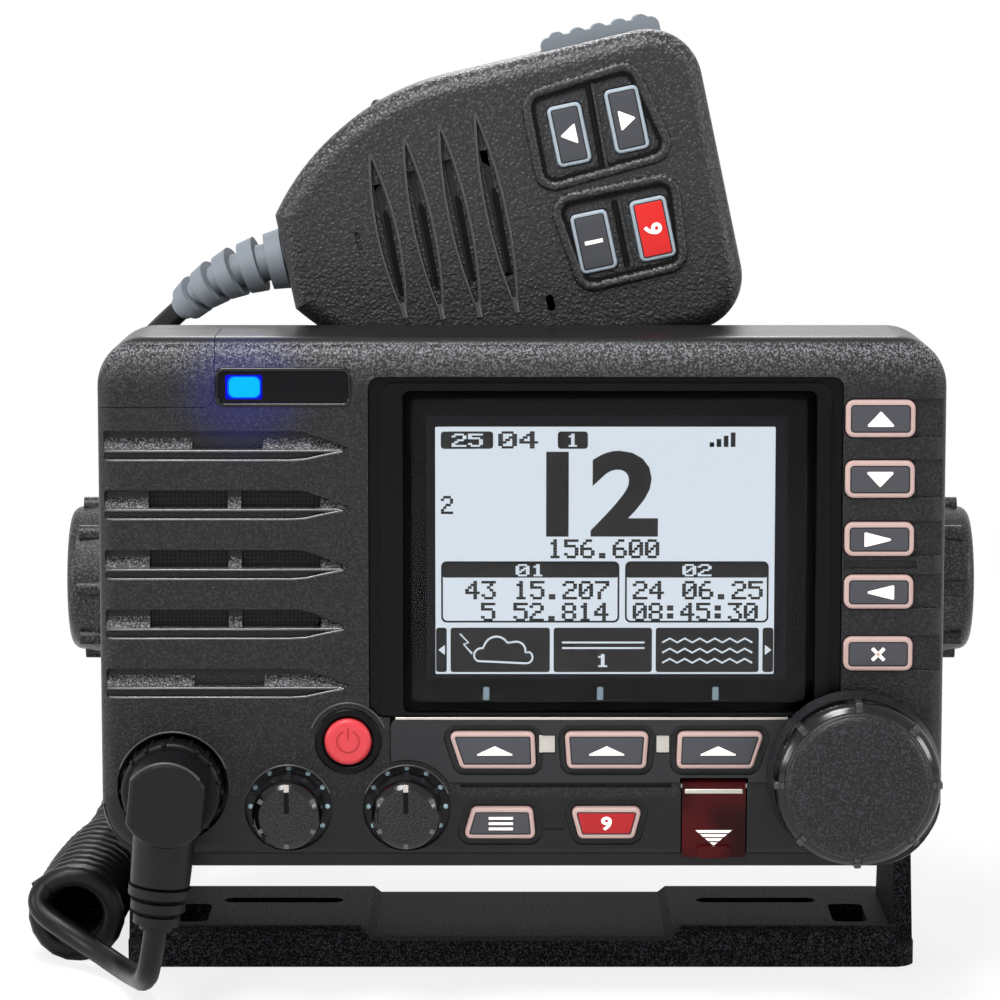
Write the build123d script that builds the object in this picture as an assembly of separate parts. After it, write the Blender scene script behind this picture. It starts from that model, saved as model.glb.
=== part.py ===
from build123d import *
import math
import os

# Fixed-mount VHF marine radio with its bracket, clamp knobs, hand microphone and curly cord.
# Millimetres. X to the right of someone facing the radio, Y away from them, Z up.
# The origin is the middle of the bracket's mounting face.

# ---- driving dimensions -------------------------------------------------------------------------
panel_width = 180.0
panel_height = 112.0
panel_depth = 31.0
panel_middle_z = 89.0
panel_face_y = -67.0
panel_wall = 3.0
top_corner_r = 10.6
bottom_corner_r = 12.0
front_edge_r = 3.5

key_gap = 0.3               # running clearance of a key in its opening
joint_gap = 0.3             # clearance between pieces that move past each other
fit_gap = 0.05              # radial clearance of a shaft in its bore
trim_gap = 0.2              # clearance round a piece that is set into the panel
key_travel = 0.8
key_proud = 1.2             # how far a key stands out of the panel
flange_thick = 1.0
flange_lip = 1.0

case_width = 156.0
case_height = 92.0
case_depth = 68.0
case_wall = 3.5
case_top_z = 134.0
fin_height = 8.0
fin_thick = 2.4
fin_count = 11
gasket_thick = 1.2
rim_plate_thick = 2.6

axis_z = 84.0               # height of the clamp-knob axis; the axis runs along X at Y = 0
pivot_boss_r = 14.0
boss_height = 5.0           # how far a pivot boss stands out of the case
pad_thick = 1.2
arm_thick = 4.0
arm_r = 15.0
base_front_y = -30.0
base_back_y = 30.0
base_thick = 5.0
lip_height = 9.0
lip_thick = 5.0
slot_length = 28.0
slot_width = 5.0
slot_inset = 33.0           # from the outside of an arm to the middle of the slots
slot_middle_y = 15.0

clamp_r = 18.0
clamp_thick = 13.6
stud_r = 3.0
stud_length = 15.0

dial_x = 70.9
dial_z = 51.2
dial_skirt_r = 18.6
dial_face_r = 15.6
dial_length = 13.0
dial_ribs = 8
small_knob_z = 43.9
squelch_x = -49.9
volume_x = -24.6
small_knob_r = 7.4
small_knob_face_r = 4.9
small_knob_length = 8.5
small_well_r = 9.4
small_well_depth = 2.0
shaft_r = 3.0

cord_d = 5.0
coil_d = 21.5

mic_length = 100.0
mic_half_width = 33.2
mic_far_corner_r = 12.0
mic_neck_half = 10.5
mic_thick = 34.0
mic_split = 20.0            # depth of the front shell
mic_tilt = 12.0
mic_x = -52.9
mic_gap = 0.7               # from the chassis rim to the face of the microphone
mic_wall = 2.4
ptt_travel = 1.6

# ---- values that follow -------------------------------------------------------------------------
panel_back_y = panel_face_y + panel_depth
panel_inner_y = panel_face_y + panel_wall
panel_bottom_z = panel_middle_z - panel_height / 2
panel_top_z = panel_middle_z + panel_height / 2
flange_front_y = panel_inner_y + joint_gap
flange_back_y = flange_front_y + flange_thick
mat_front_y = flange_back_y + key_travel + 0.5
mat_thick = 1.2
board_front_y = mat_front_y + mat_thick
board_thick = 1.6
board_back_y = board_front_y + board_thick
case_front_y = panel_back_y + gasket_thick
case_back_y = case_front_y + case_depth
case_middle_z = case_top_z - case_height / 2
case_bottom_z = case_top_z - case_height
fin_back_y = case_back_y + fin_height
boss_outer_x = case_width / 2 + boss_height
arm_inner_x = boss_outer_x + pad_thick + joint_gap
arm_outer_x = arm_inner_x + arm_thick
slot_middle_x = arm_outer_x - slot_inset
stud_tip_x = arm_outer_x + joint_gap - stud_length
screw_head_r = 2.6
port_inset = 12.0           # height of the rear ports above the bottom of the case
board_inset = 10.0          # from the outside of the case to the edge of the main board
post_inset = 8.0
mic_unit = mic_length / 100.0


# ---- helpers ------------------------------------------------------------------------------------
def facing(y):
    """The plane seen from the front at depth y: its x is X and its y is Z."""
    return Plane((0, y, 0), x_dir=(1, 0, 0), z_dir=(0, -1, 0))


def prism(sketch, back_y, front_y, taper=0):
    """A front-view outline made solid from back_y forward to front_y."""
    return extrude(facing(back_y) * sketch, back_y - front_y, taper=taper)


def disc(x, z, radius, back_y, front_y):
    return prism(Pos(x, z) * Circle(radius), back_y, front_y)


def outline(points, radius=0):
    """A closed straight-sided outline with rounded corners."""
    shape = make_face(Polyline(*points, close=True))
    if radius:
        shape = fillet(shape.vertices(), radius)
    return shape


def box_between(x0, x1, y0, y1, z0, z1):
    return Pos((x0 + x1) / 2, (y0 + y1) / 2, (z0 + z1) / 2) * Box(x1 - x0, y1 - y0, z1 - z0)


def rounded_box(x0, x1, z0, z1, radius, back_y, front_y):
    middle = Pos((x0 + x1) / 2, (z0 + z1) / 2)
    return prism(middle * RectangleRounded(x1 - x0, z1 - z0, radius), back_y, front_y)


def x_disc(x0, x1, y, z, radius):
    """A round disc whose axis runs along X."""
    return Pos((x0 + x1) / 2, y, z) * Rot(0, 90, 0) * Cylinder(radius, x1 - x0)


def save(shape, name):
    export_step(shape, f"parts/{name}.step")


os.makedirs("parts", exist_ok=True)

# ---- key and opening outlines on the panel ------------------------------------------------------
key_x0 = 68.4
key_x1 = 83.1
side_keys = {
    "up_key": (127.8, 7.9),
    "down_key": (114.9, 7.9),
    "right_key": (102.1, 7.2),
    "left_key": (90.8, 7.2),
    "clear_key": (77.5, 7.3),
}
soft_z0 = 52.7
soft_z1 = 60.6
soft_slant = 2.6
soft_keys = {
    "soft_key_left": ((-15.7, soft_z1), (2.7, soft_z1), (3.0, soft_z0), (-15.7 + soft_slant, soft_z0)),
    "soft_key_middle": ((9.1, soft_z1), (27.1, soft_z1), (26.5, soft_z0), (9.7, soft_z0)),
    "soft_key_right": ((33.3, soft_z1), (51.9, soft_z1), (51.9 - soft_slant, soft_z0), (33.0, soft_z0)),
}
low_z0 = 37.5
low_z1 = 44.2
low_keys = {
    "menu_key": ((-10.6, low_z1), (2.3, low_z1), (3.0, low_z0), (-12.6, low_z0)),
    "channel_key": ((10.4, low_z1), (25.8, low_z1), (24.0, low_z0), (12.2, low_z0)),
}
corner_r = 1.3
power_x = -37.1
power_z = 58.5
power_r = 5.0
socket_x = -74.6
socket_z = 48.4
socket_well_r = 11.9
socket_well_depth = 6.0

frame_x0 = -32.6
frame_x1 = 68.0
frame_z0 = 63.8
frame_z1 = 136.6
frame_side_band = 2.6       # lower outer band of the display frame, at its sides
frame_top_band = 1.4
frame_band_depth = 1.2
lens_x0 = frame_x0 + 7.2
lens_x1 = frame_x1 - 5.5
lens_z0 = frame_z0 + 0.8
lens_z1 = frame_z1 - 3.0
chin_z0 = 49.4
chin_x0 = -28.2
chin_x1 = 58.0
lcd_x0 = lens_x0 + 3.4
lcd_x1 = lens_x1 - 5.1
lcd_z0 = lens_z0 + 4.4
lcd_z1 = lens_z1 - 4.2
lcd_thick = 2.6
lens_thick = 2.0
lens_back_y = panel_face_y + 0.6 + lens_thick
window_x0 = -64.2
window_x1 = -36.7
window_z0 = 130.9
window_z1 = 137.9

flap_x0 = 34.3
flap_x1 = 47.9
flap_z0 = panel_bottom_z + 0.2
flap_hinge_z = 48.6
flap_well_depth = 6.5
flap_thick = 1.8

cover_x1 = -64.8
cover_z0 = 130.0

louvre_tops = [125.1, 112.5, 99.7, 86.9, 74.2]
louvre_height = 6.2
louvre_depth = 2.2
louvre_deep_part = 4.0      # height of the deep upper groove
louvre_ridge = 0.6          # between the deep groove and the shallow one below it
shallow_depth = 1.0
louvre_x0 = -88.6
louvre_x1 = -35.4
louvre_bend_x = -46.5
scoop_x1 = 88.8             # finger scoops beside the keys at the right
scoop_depth = 1.2
scoop_r = 3.0
finger_bar_z = (95.6, 97.5)  # small groove between the two middle keys
seam_x = (-13.0, 32.0)      # dark seam below the chin trim
seam_height = 1.0
bridge_x = (4.4, 9.1)       # recess between the two lower keys
bridge_z = (39.2, 42.7)
speaker_x = -62.0
speaker_z = 98.0
speaker_r = 23.5


def side_key_outline(name, grow=0.0):
    z, height = side_keys[name]
    middle = Pos((key_x0 + key_x1) / 2, z)
    return middle * RectangleRounded(key_x1 - key_x0 + 2 * grow, height + 2 * grow, 1.8 + grow)


def slanted_key_outline(points, grow=0.0):
    shape = outline(points, corner_r)
    if grow:
        shape = offset(shape, amount=grow)
    return shape


def make_key(shape, collar, proud=key_proud):
    """A key cap with a retaining collar behind the panel."""
    cap = prism(shape, flange_back_y, panel_face_y - proud)
    cap = fillet(cap.faces().sort_by(Axis.Y)[0].outer_wire().edges(), 0.6)
    return cap + prism(collar, flange_back_y, flange_front_y)


# ---- front bezel: a moulded shell, open at the back ---------------------------------------------
panel_outline = Pos(0, panel_middle_z) * Rectangle(panel_width, panel_height)
panel_outline = fillet(panel_outline.vertices().group_by(Axis.Y)[-1], top_corner_r)
panel_outline = fillet(panel_outline.vertices().group_by(Axis.Y)[0], bottom_corner_r)
bezel_body = prism(panel_outline, panel_back_y, panel_face_y)
bezel_body = fillet(bezel_body.faces().sort_by(Axis.Y)[0].outer_wire().edges(), front_edge_r)

bezel = bezel_body - prism(offset(panel_outline, amount=-panel_wall), panel_back_y + 1, panel_inner_y)

# speaker louvres: tapered grooves, with openings in the middle rows and a blind recess in the outer ones
opening_sections = [(-79.2, -62.4), (-59.6, -42.8)]
blind_section = [(-69.9, -54.9)]
side_plane = Plane((0, 0, 0), x_dir=(0, 1, 0), z_dir=(1, 0, 0))
floor_y = panel_face_y + louvre_depth


def pointed_groove(points, bend_index, bend_radius):
    """A groove outline with a blunt left end, a soft bend and a sharp tip at the right."""
    shape = outline(points)
    left = shape.vertices().sort_by(Axis.X)[:2]
    shape = fillet(left, 0.7)
    tip = shape.vertices().sort_by(Axis.X)[-1]
    shape = fillet(tip, 0.3)
    bend = shape.vertices().sort_by_distance((*points[bend_index], 0))[0]
    return fillet(bend, bend_radius)


for row, top in enumerate(louvre_tops):
    deep_z = top - louvre_deep_part
    shallow_z = deep_z - louvre_ridge
    low_z = top - louvre_height
    deep_groove = pointed_groove([(louvre_x0, top), (louvre_bend_x, top), (louvre_x1, deep_z),
                                  (louvre_x0, deep_z)], 1, 9.0)
    shallow_groove = pointed_groove([(louvre_x0, low_z), (louvre_bend_x, low_z),
                                     (louvre_x1 - 4.0, shallow_z), (louvre_x0, shallow_z)], 1, 6.0)
    ramp = outline([(floor_y, top - 1.7), (floor_y, deep_z), (panel_face_y + 0.6, deep_z)])
    ramp = Pos(louvre_x0, 0, 0) * extrude(side_plane * ramp, louvre_x1 - louvre_x0)
    bezel -= prism(deep_groove, floor_y, panel_face_y - 1) - ramp
    bezel -= prism(shallow_groove, panel_face_y + shallow_depth, panel_face_y - 1)
    sections = opening_sections if 0 < row < len(louvre_tops) - 1 else blind_section
    back_y = panel_inner_y + 1 if sections == opening_sections else floor_y
    for x0, x1 in sections:
        bezel -= box_between(x0, x1, panel_face_y + 0.4, back_y, deep_z, top)

# cut-outs for the display frame, chin trim, keys, knobs and window
bezel -= rounded_box(frame_x0, frame_x1, frame_z0 - 0.3, frame_z1, 2.5, panel_inner_y + 1, panel_face_y - 1)
well_ring = disc(volume_x, small_knob_z, small_well_r + 1.0, panel_inner_y, panel_face_y)
chin_cut = rounded_box(chin_x0, chin_x1, chin_z0, frame_z0 + 5, 2.5, panel_inner_y + 1, panel_face_y - 1)
bezel -= chin_cut - well_ring
for name in side_keys:
    bezel -= prism(side_key_outline(name, key_gap), panel_inner_y + 1, panel_face_y - 1)
    key_z, key_height = side_keys[name]
    scoop_height = key_height + 0.4
    scoop = Pos((key_x1 + scoop_x1) / 2, key_z)
    scoop *= RectangleRounded(scoop_x1 - key_x1 + 6.0, scoop_height, scoop_r)
    scoop &= Pos((key_x1 + scoop_x1) / 2, key_z) * Rectangle(scoop_x1 - key_x1 + 8.0, scoop_height)
    bezel -= prism(scoop, panel_face_y + scoop_depth, panel_face_y - 1)
bezel -= rounded_box(key_x0 - 0.2, key_x1 + 0.8, *finger_bar_z, 0.9, panel_face_y + 0.9, panel_face_y - 1)
bezel -= box_between(*seam_x, panel_face_y - 1, panel_face_y + 1.2, chin_z0 - seam_height, chin_z0 + 0.1)
bezel -= box_between(*bridge_x, panel_face_y - 1, panel_face_y + 0.5, *bridge_z)
for points in low_keys.values():
    bezel -= prism(slanted_key_outline(points, key_gap), panel_inner_y + 1, panel_face_y - 1)
    bezel -= prism(slanted_key_outline(points, 1.6), panel_face_y + 0.8, panel_face_y - 1)
for x in (squelch_x, volume_x):
    bezel -= disc(x, small_knob_z, small_well_r, panel_face_y + small_well_depth, panel_face_y - 1)
    bezel -= disc(x, small_knob_z, shaft_r + 0.8, panel_inner_y + 1, panel_face_y)
bezel -= disc(dial_x, dial_z, 7.5, panel_inner_y + 1, panel_face_y - 1)
bezel -= disc(power_x, power_z, power_r + key_gap, panel_inner_y + 1, panel_face_y - 1)
bezel -= disc(power_x, power_z, power_r + 1.3, panel_face_y + 0.8, panel_face_y - 1)
bezel -= rounded_box(window_x0, window_x1, window_z0, window_z1, 1.2, panel_inner_y + 1, panel_face_y - 1)

# well of the microphone socket, with its own floor inside the shell
well_floor_y = panel_face_y + socket_well_depth
bezel += disc(socket_x, socket_z, socket_well_r + 1.2, well_floor_y + 2.0, panel_inner_y)
bezel -= disc(socket_x, socket_z, socket_well_r, well_floor_y, panel_face_y - 1)
bezel -= disc(socket_x, socket_z, 7.2, well_floor_y + 3, panel_face_y)

# pocket of the distress button, open at the lower edge of the panel
pocket_floor_y = panel_face_y + flap_well_depth
pocket_top_z = flap_hinge_z + 1.8
pin_r = 0.8
pin_y = panel_face_y + 1.7
bezel += box_between(flap_x0 - 1.8, flap_x1 + 1.8, panel_inner_y, pocket_floor_y + 1.6,
                     panel_bottom_z + 1.0, pocket_top_z + 1.0)
bezel -= box_between(flap_x0 - joint_gap, flap_x1 + joint_gap, panel_face_y - 1, pocket_floor_y,
                     panel_bottom_z - 1, pocket_top_z)
bezel -= x_disc(flap_x0 - 1.4, flap_x1 + 1.4, pin_y, flap_hinge_z, pin_r + fit_gap)
button_x = (flap_x0 + flap_x1) / 2
button_z = 41.8
button_r = 4.2
bezel -= disc(button_x, button_z, button_r + key_gap, pocket_floor_y + 2, panel_face_y)

# corner cover seat and screw bosses
cover_outline = outline([(-panel_width / 2 - 1, cover_z0), (cover_x1, cover_z0),
                         (cover_x1, panel_top_z + 1), (-panel_width / 2 - 1, panel_top_z + 1)])
cover_outline = fillet(cover_outline.vertices().sort_by(Axis.Y)[:2].sort_by(Axis.X)[-1], 3.0)
cover_depth = 22.0
cover_skin = 1.6
cover_block = bezel_body & prism(cover_outline, panel_face_y + cover_depth, panel_face_y - 1)
cover_core = prism(offset(panel_outline, amount=-cover_skin), panel_back_y, panel_face_y + cover_skin)
cover_core &= prism(offset(cover_outline, amount=-cover_skin), panel_face_y + cover_depth, panel_face_y)
bezel -= cover_block - cover_core
bezel_screw_x = panel_width / 2 - 7.5
bezel_screw_zs = (panel_bottom_z + 7.5, panel_top_z - 7.5)
bezel_boss_r = 3.6
bezel_boss_length = 18.0
bezel_screw_r = 1.5
for x in (-bezel_screw_x, bezel_screw_x):
    for z in bezel_screw_zs:
        bezel += disc(x, z, bezel_boss_r, panel_back_y, panel_back_y - bezel_boss_length)
        bezel -= disc(x, z, bezel_screw_r, panel_back_y + 1, panel_back_y - 14)
save(bezel, "front_bezel")

cover_gap = 0.15
corner_cover = cover_block - cover_core
corner_cover &= prism(offset(cover_outline, amount=-cover_gap), panel_face_y + cover_depth - cover_gap,
                      panel_face_y - 1)
corner_cover -= offset(cover_core, amount=cover_gap)
save(corner_cover, "corner_cover")

# ---- display: frame, lens, module ---------------------------------------------------------------
frame_back_y = panel_inner_y
display_frame = rounded_box(frame_x0 + trim_gap, frame_x1 - trim_gap, frame_z0 + trim_gap,
                            frame_z1 - trim_gap, 2.3, frame_back_y, panel_face_y + 0.2)
band_floor_y = panel_face_y + frame_band_depth
display_frame -= (
    box_between(frame_x0, frame_x1, panel_face_y, band_floor_y, frame_z0, frame_z1)
    - rounded_box(frame_x0 + frame_side_band, frame_x1 - frame_side_band, frame_z0 - 3.0,
                  frame_z1 - frame_top_band, 2.6, band_floor_y + 1, panel_face_y - 1))
display_frame -= rounded_box(lens_x0, lens_x1, lens_z0, lens_z1, 1.6, frame_back_y + 1, panel_face_y - 1)
display_frame += (
    rounded_box(lens_x0 - 1, lens_x1 + 1, lens_z0 - 0.2, lens_z1 + 1, 1.6, frame_back_y, lens_back_y)
    - rounded_box(lens_x0 + 2, lens_x1 - 2, lens_z0 + 2, lens_z1 - 2, 1.6, frame_back_y + 1, lens_back_y - 1))
save(display_frame, "display_frame")

display_lens = rounded_box(lens_x0 + trim_gap, lens_x1 - trim_gap, lens_z0 + trim_gap,
                           lens_z1 - trim_gap, 1.4, lens_back_y, lens_back_y - lens_thick)
save(display_lens, "display_lens")

lcd_front_y = frame_back_y
lcd_module = rounded_box(lcd_x0, lcd_x1, lcd_z0, lcd_z1, 0.8, lcd_front_y + lcd_thick, lcd_front_y)
lcd_module += box_between(lcd_x0 + 12, lcd_x1 - 12, lcd_front_y + 0.6, lcd_front_y + lcd_thick,
                          lcd_z0 - 3.0, lcd_z0 + 1)
save(lcd_module, "lcd_module")

# ---- chin trim with the soft-key pockets --------------------------------------------------------
chin_face_y = panel_face_y - 0.5
chin = rounded_box(chin_x0 + trim_gap, chin_x1 - trim_gap, chin_z0 + trim_gap, frame_z0 - 0.1,
                   2.3, panel_inner_y, chin_face_y)
chin -= disc(volume_x, small_knob_z, small_well_r + 1.0 + trim_gap, panel_inner_y + 1, panel_face_y - 1)
chin -= box_between(flap_x0 - joint_gap - trim_gap, flap_x1 + joint_gap + trim_gap, panel_face_y - 2,
                    panel_inner_y + 1, chin_z0 - 1, pocket_top_z + 0.2)
chin -= x_disc(flap_x0 - 1.6, flap_x1 + 1.6, pin_y, flap_hinge_z, pin_r + 2 * fit_gap)
for points in soft_keys.values():
    chin -= prism(slanted_key_outline(points, key_gap), panel_inner_y + 1, panel_face_y - 2)
    chin -= prism(slanted_key_outline(points, 1.5), panel_face_y + 0.9, panel_face_y - 2)
for bar_x0, bar_x1 in ((3.6, 7.2), (28.6, 31.6)):
    chin -= box_between(bar_x0, bar_x1, panel_face_y - 1, panel_face_y + 0.5, soft_z0 + 3.2, soft_z1 - 0.7)
save(chin, "soft_key_trim")

# ---- keys ---------------------------------------------------------------------------------------
for name in side_keys:
    save(make_key(side_key_outline(name), side_key_outline(name, flange_lip)), name)
for name, points in soft_keys.items():
    save(make_key(slanted_key_outline(points), slanted_key_outline(points, flange_lip)), name)
for name, points in low_keys.items():
    save(make_key(slanted_key_outline(points), slanted_key_outline(points, flange_lip)), name)

power_button = disc(power_x, power_z, power_r, flange_back_y, panel_face_y - 1.6)
power_button = fillet(power_button.edges().group_by(Axis.Y)[0], 1.1)
power_button += disc(power_x, power_z, power_r + flange_lip, flange_back_y, flange_front_y)
save(power_button, "power_button")

# ---- distress button, its flap and hinge pin ----------------------------------------------------
button_back_y = pocket_floor_y + 1.6 + joint_gap + flange_thick
distress_button = disc(button_x, button_z, button_r, button_back_y, pocket_floor_y - 1.8)
distress_button = fillet(distress_button.edges().group_by(Axis.Y)[0], 0.8)
distress_button += disc(button_x, button_z, button_r + flange_lip,
                        button_back_y, button_back_y - flange_thick)
save(distress_button, "distress_button")

hinge_pin = x_disc(flap_x0 - 1.4, flap_x1 + 1.4, pin_y, flap_hinge_z, pin_r)
barrel_r = 1.6
flap_front_y = panel_face_y + 0.1
flap = box_between(flap_x0, flap_x1, flap_front_y, flap_front_y + flap_thick, flap_z0, flap_hinge_z)
side_lip = 1.2
for x0 in (flap_x0, flap_x1 - side_lip):
    flap += box_between(x0, x0 + side_lip, flap_front_y, flap_front_y + 4.0, flap_z0, flap_hinge_z - 3.0)
flap += x_disc(flap_x0, flap_x1, pin_y, flap_hinge_z, barrel_r)
flap -= x_disc(flap_x0 - 1, flap_x1 + 1, pin_y, flap_hinge_z, pin_r + fit_gap)
tab_half = 3.6
flap += rounded_box(button_x - tab_half, button_x + tab_half, flap_z0, flap_z0 + 2.6, 0.8,
                    flap_front_y + 0.5, flap_front_y - 1.2)
save(flap, "distress_cover")
save(hinge_pin, "cover_hinge_pin")

# ---- indicator window ---------------------------------------------------------------------------
indicator = rounded_box(window_x0 + trim_gap, window_x1 - trim_gap, window_z0 + trim_gap,
                        window_z1 - trim_gap, 1.0, panel_inner_y, panel_face_y + 0.3)
save(indicator, "indicator_lens")

# ---- speaker ------------------------------------------------------------------------------------
mesh_thick = 0.5
speaker_mesh = disc(speaker_x, speaker_z, speaker_r, panel_inner_y + mesh_thick, panel_inner_y)
save(speaker_mesh, "speaker_mesh")
speaker_front_y = panel_inner_y + mesh_thick
speaker_rim = 2.5
cone_r = 12.0
cone_length = 7.0
magnet_r = 13.0
magnet_length = 8.0
speaker = disc(speaker_x, speaker_z, speaker_r, speaker_front_y + speaker_rim, speaker_front_y)
speaker -= disc(speaker_x, speaker_z, speaker_r - speaker_rim, speaker_front_y + 1.5, speaker_front_y - 1)
cone_middle_y = speaker_front_y + speaker_rim + cone_length / 2
cone = Rot(90, 0, 0) * Cone(cone_r, speaker_r - speaker_rim, cone_length)
speaker += Pos(speaker_x, cone_middle_y, speaker_z) * cone
magnet_front_y = cone_middle_y + cone_length / 2 - 0.5
speaker += disc(speaker_x, speaker_z, magnet_r, magnet_front_y + magnet_length, magnet_front_y)
save(speaker, "speaker_driver")

# ---- keypad mat and boards ----------------------------------------------------------------------
encoder_r = 6.5
pot_r = 5.0
mat_parts = [               # x0, x1, z0, z1 behind the side, soft and low keys, and the strip between
    (key_x0 - 2.0, key_x1 + 2.0, 73.0, 132.6),
    (-19.0, 56.0, soft_z0 - 0.1, lcd_z0 - 5.0),
    (-19.0, 32.0, low_z0 - 1.0, soft_z0 + 0.3),
    (54.0, key_x0 + 3.0, 61.0, 75.0),
]
board_parts = [
    (frame_x0 - 0.4, key_x1 + 2.3, 52.0, 136.0),
    (-60.0, 32.0, low_z0 - 1.0, 54.0),
    (51.5, 82.0, 42.0, 54.0),
]
mat = Part() + [box_between(x0, x1, mat_front_y, board_front_y, z0, z1) for x0, x1, z0, z1 in mat_parts]
save(mat, "keypad_mat")
control_board = Part() + [box_between(x0, x1, board_front_y, board_back_y, z0, z1)
                          for x0, x1, z0, z1 in board_parts]
save(control_board, "control_board")

main_board_y = case_front_y + 16.0
board_half = case_width / 2 - board_inset
board_z0 = case_bottom_z + board_inset
board_z1 = case_top_z - board_inset
board_posts = [(x, z) for x in (post_inset - board_half, board_half - post_inset)
               for z in (board_z0 + post_inset, board_z1 - post_inset)]
main_board = box_between(-board_half, board_half, main_board_y, main_board_y + board_thick,
                         board_z0, board_z1)
for x, z, width, height, tall in ((-40, 100, 24, 20, 7), (10, 104, 36, 26, 5), (46, 70, 20, 24, 9),
                                  (-30, 66, 30, 12, 6)):
    main_board += box_between(x - width / 2, x + width / 2, main_board_y - tall, main_board_y,
                              z - height / 2, z + height / 2)
for x, z in board_posts:
    main_board -= disc(x, z, 1.8, main_board_y + 4, main_board_y - 1)
save(main_board, "main_board")

# ---- potentiometers, encoder and their knobs ----------------------------------------------------
pots = []
for x in (squelch_x, volume_x):
    pot = disc(x, small_knob_z, pot_r, board_front_y, panel_inner_y + 0.2)
    pot += disc(x, small_knob_z, shaft_r, panel_inner_y + 0.3, panel_face_y - small_knob_length + 2.5)
    pots.append(pot)
save(Compound(children=pots), "knob_potentiometers")


def round_knob(x, z, base_r, face_r, base_y, face_y, ribs, rib_width, rib_depth):
    """A tapered knob with ribs along its side."""
    length = base_y - face_y
    knob = Pos(x, (base_y + face_y) / 2, z) * Rot(90, 0, 0) * Cone(base_r, face_r, length)
    knob = fillet(knob.edges().group_by(Axis.Y)[0], 1.0)
    slant = math.degrees(math.atan2(base_r - face_r, length))
    for index in range(ribs):
        rib = Pos(0, 0, (base_r + face_r) / 2) * Rot(slant, 0, 0)
        rib = rib * Box(rib_width, length / math.cos(math.radians(slant)) * 0.86, rib_depth * 2)
        turned = Rot(0, 360 / ribs * index, 0) * rib
        knob += Pos(x, (base_y + face_y) / 2, z) * turned
    return knob


small_face_y = panel_face_y - small_knob_length
for name, x in (("squelch_knob", squelch_x), ("volume_knob", volume_x)):
    base_y = panel_face_y + small_well_depth - joint_gap
    knob = round_knob(x, small_knob_z, small_knob_r, small_knob_face_r + 1.0, base_y, small_face_y,
                      6, 1.2, 0.5)
    knob -= disc(x, small_knob_z, shaft_r + fit_gap, base_y + 1, small_face_y + 2.2)
    pointer = box_between(x - 0.7, x + 0.7, small_face_y - 0.7, small_face_y + 1.5,
                          small_knob_z + 0.6, small_knob_z + small_knob_face_r + 1.2)
    save(knob + pointer, name)

encoder_front_y = panel_inner_y + 0.6
encoder = disc(dial_x, dial_z, encoder_r, board_front_y, encoder_front_y)
encoder -= disc(dial_x, dial_z, shaft_r + fit_gap, board_front_y - 1.0, encoder_front_y - 1)
save(encoder, "dial_encoder")
dial_face_y = panel_face_y - dial_length
encoder_shaft = disc(dial_x, dial_z, shaft_r, board_front_y - 1.0 - key_travel - joint_gap, dial_face_y + 4.0)
save(encoder_shaft, "encoder_shaft")

dial_base_y = chin_face_y - key_travel - joint_gap
dial = round_knob(dial_x, dial_z, dial_face_r + 1.4, dial_face_r, dial_base_y, dial_face_y,
                  dial_ribs, 2.2, 1.0)
dial += Pos(dial_x, dial_base_y - 1.5, dial_z) * Rot(90, 0, 0) * Cone(dial_skirt_r, dial_skirt_r - 1.2, 3.0)
dial -= disc(dial_x, dial_z, dial_face_r - 2.0, dial_base_y + 1, dial_face_y + 3.0)
dial += disc(dial_x, dial_z, 6.0, dial_base_y, dial_face_y + 2.5)
dial -= disc(dial_x, dial_z, shaft_r + fit_gap, dial_base_y + 1, dial_face_y + 4.0)
save(dial, "selector_dial")

# ---- microphone socket and plug -----------------------------------------------------------------
socket = disc(socket_x, socket_z, 7.0, well_floor_y + 9.0, well_floor_y - 3.0)
socket += disc(socket_x, socket_z, 9.5, well_floor_y + 4.0, well_floor_y + 2.0)
for index in range(8):
    angle = math.radians(45 * index)
    socket -= disc(socket_x + 3.6 * math.cos(angle), socket_z + 3.6 * math.sin(angle), 0.6,
                   well_floor_y - 1.0, well_floor_y - 4.0)
save(socket, "mic_socket")

plug_lean = 6.0             # the plug hangs a little to the left
plug_w = 16.0
plug_h = 18.6
plug_front_y = panel_face_y - 20.0
plug_back_y = well_floor_y - 3.0
ring_r = 10.6
ring_front_y = panel_face_y - 5.5
ring = disc(socket_x, socket_z, ring_r, well_floor_y - joint_gap, ring_front_y)
ring = fillet(ring.edges().group_by(Axis.Y)[0], 0.8)
ring -= disc(socket_x, socket_z, 7.2 + fit_gap, well_floor_y + 1, ring_front_y - 1)
for index in range(16):
    angle = math.radians(22.5 * index)
    ring += disc(socket_x + ring_r * math.cos(angle), socket_z + ring_r * math.sin(angle), 0.5,
                 well_floor_y - joint_gap, ring_front_y + 1.0)
save(ring, "plug_ring")

neck_y = panel_face_y - 12.6
neck_r0 = 6.9
neck_top = 2.0
neck_end = -18.0
relief_end = -28.0
plug_head = Circle(plug_h / 2) & Rectangle(plug_w, plug_h + 1)
local_body = prism(plug_head, ring_front_y - joint_gap, plug_front_y)
local_body = fillet(local_body.faces().sort_by(Axis.Y)[0].outer_wire().edges(), 1.3)
local_body += prism(Circle(7.0), plug_back_y, ring_front_y - joint_gap)
neck = Pos(0, neck_y, (neck_top + neck_end) / 2) * Cone(neck_r0 - 0.6, neck_r0, neck_top - neck_end)
local_body += neck
to_socket = Pos(socket_x, 0, socket_z) * Rot(0, plug_lean, 0)
save(to_socket * local_body, "plug_body")

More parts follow.
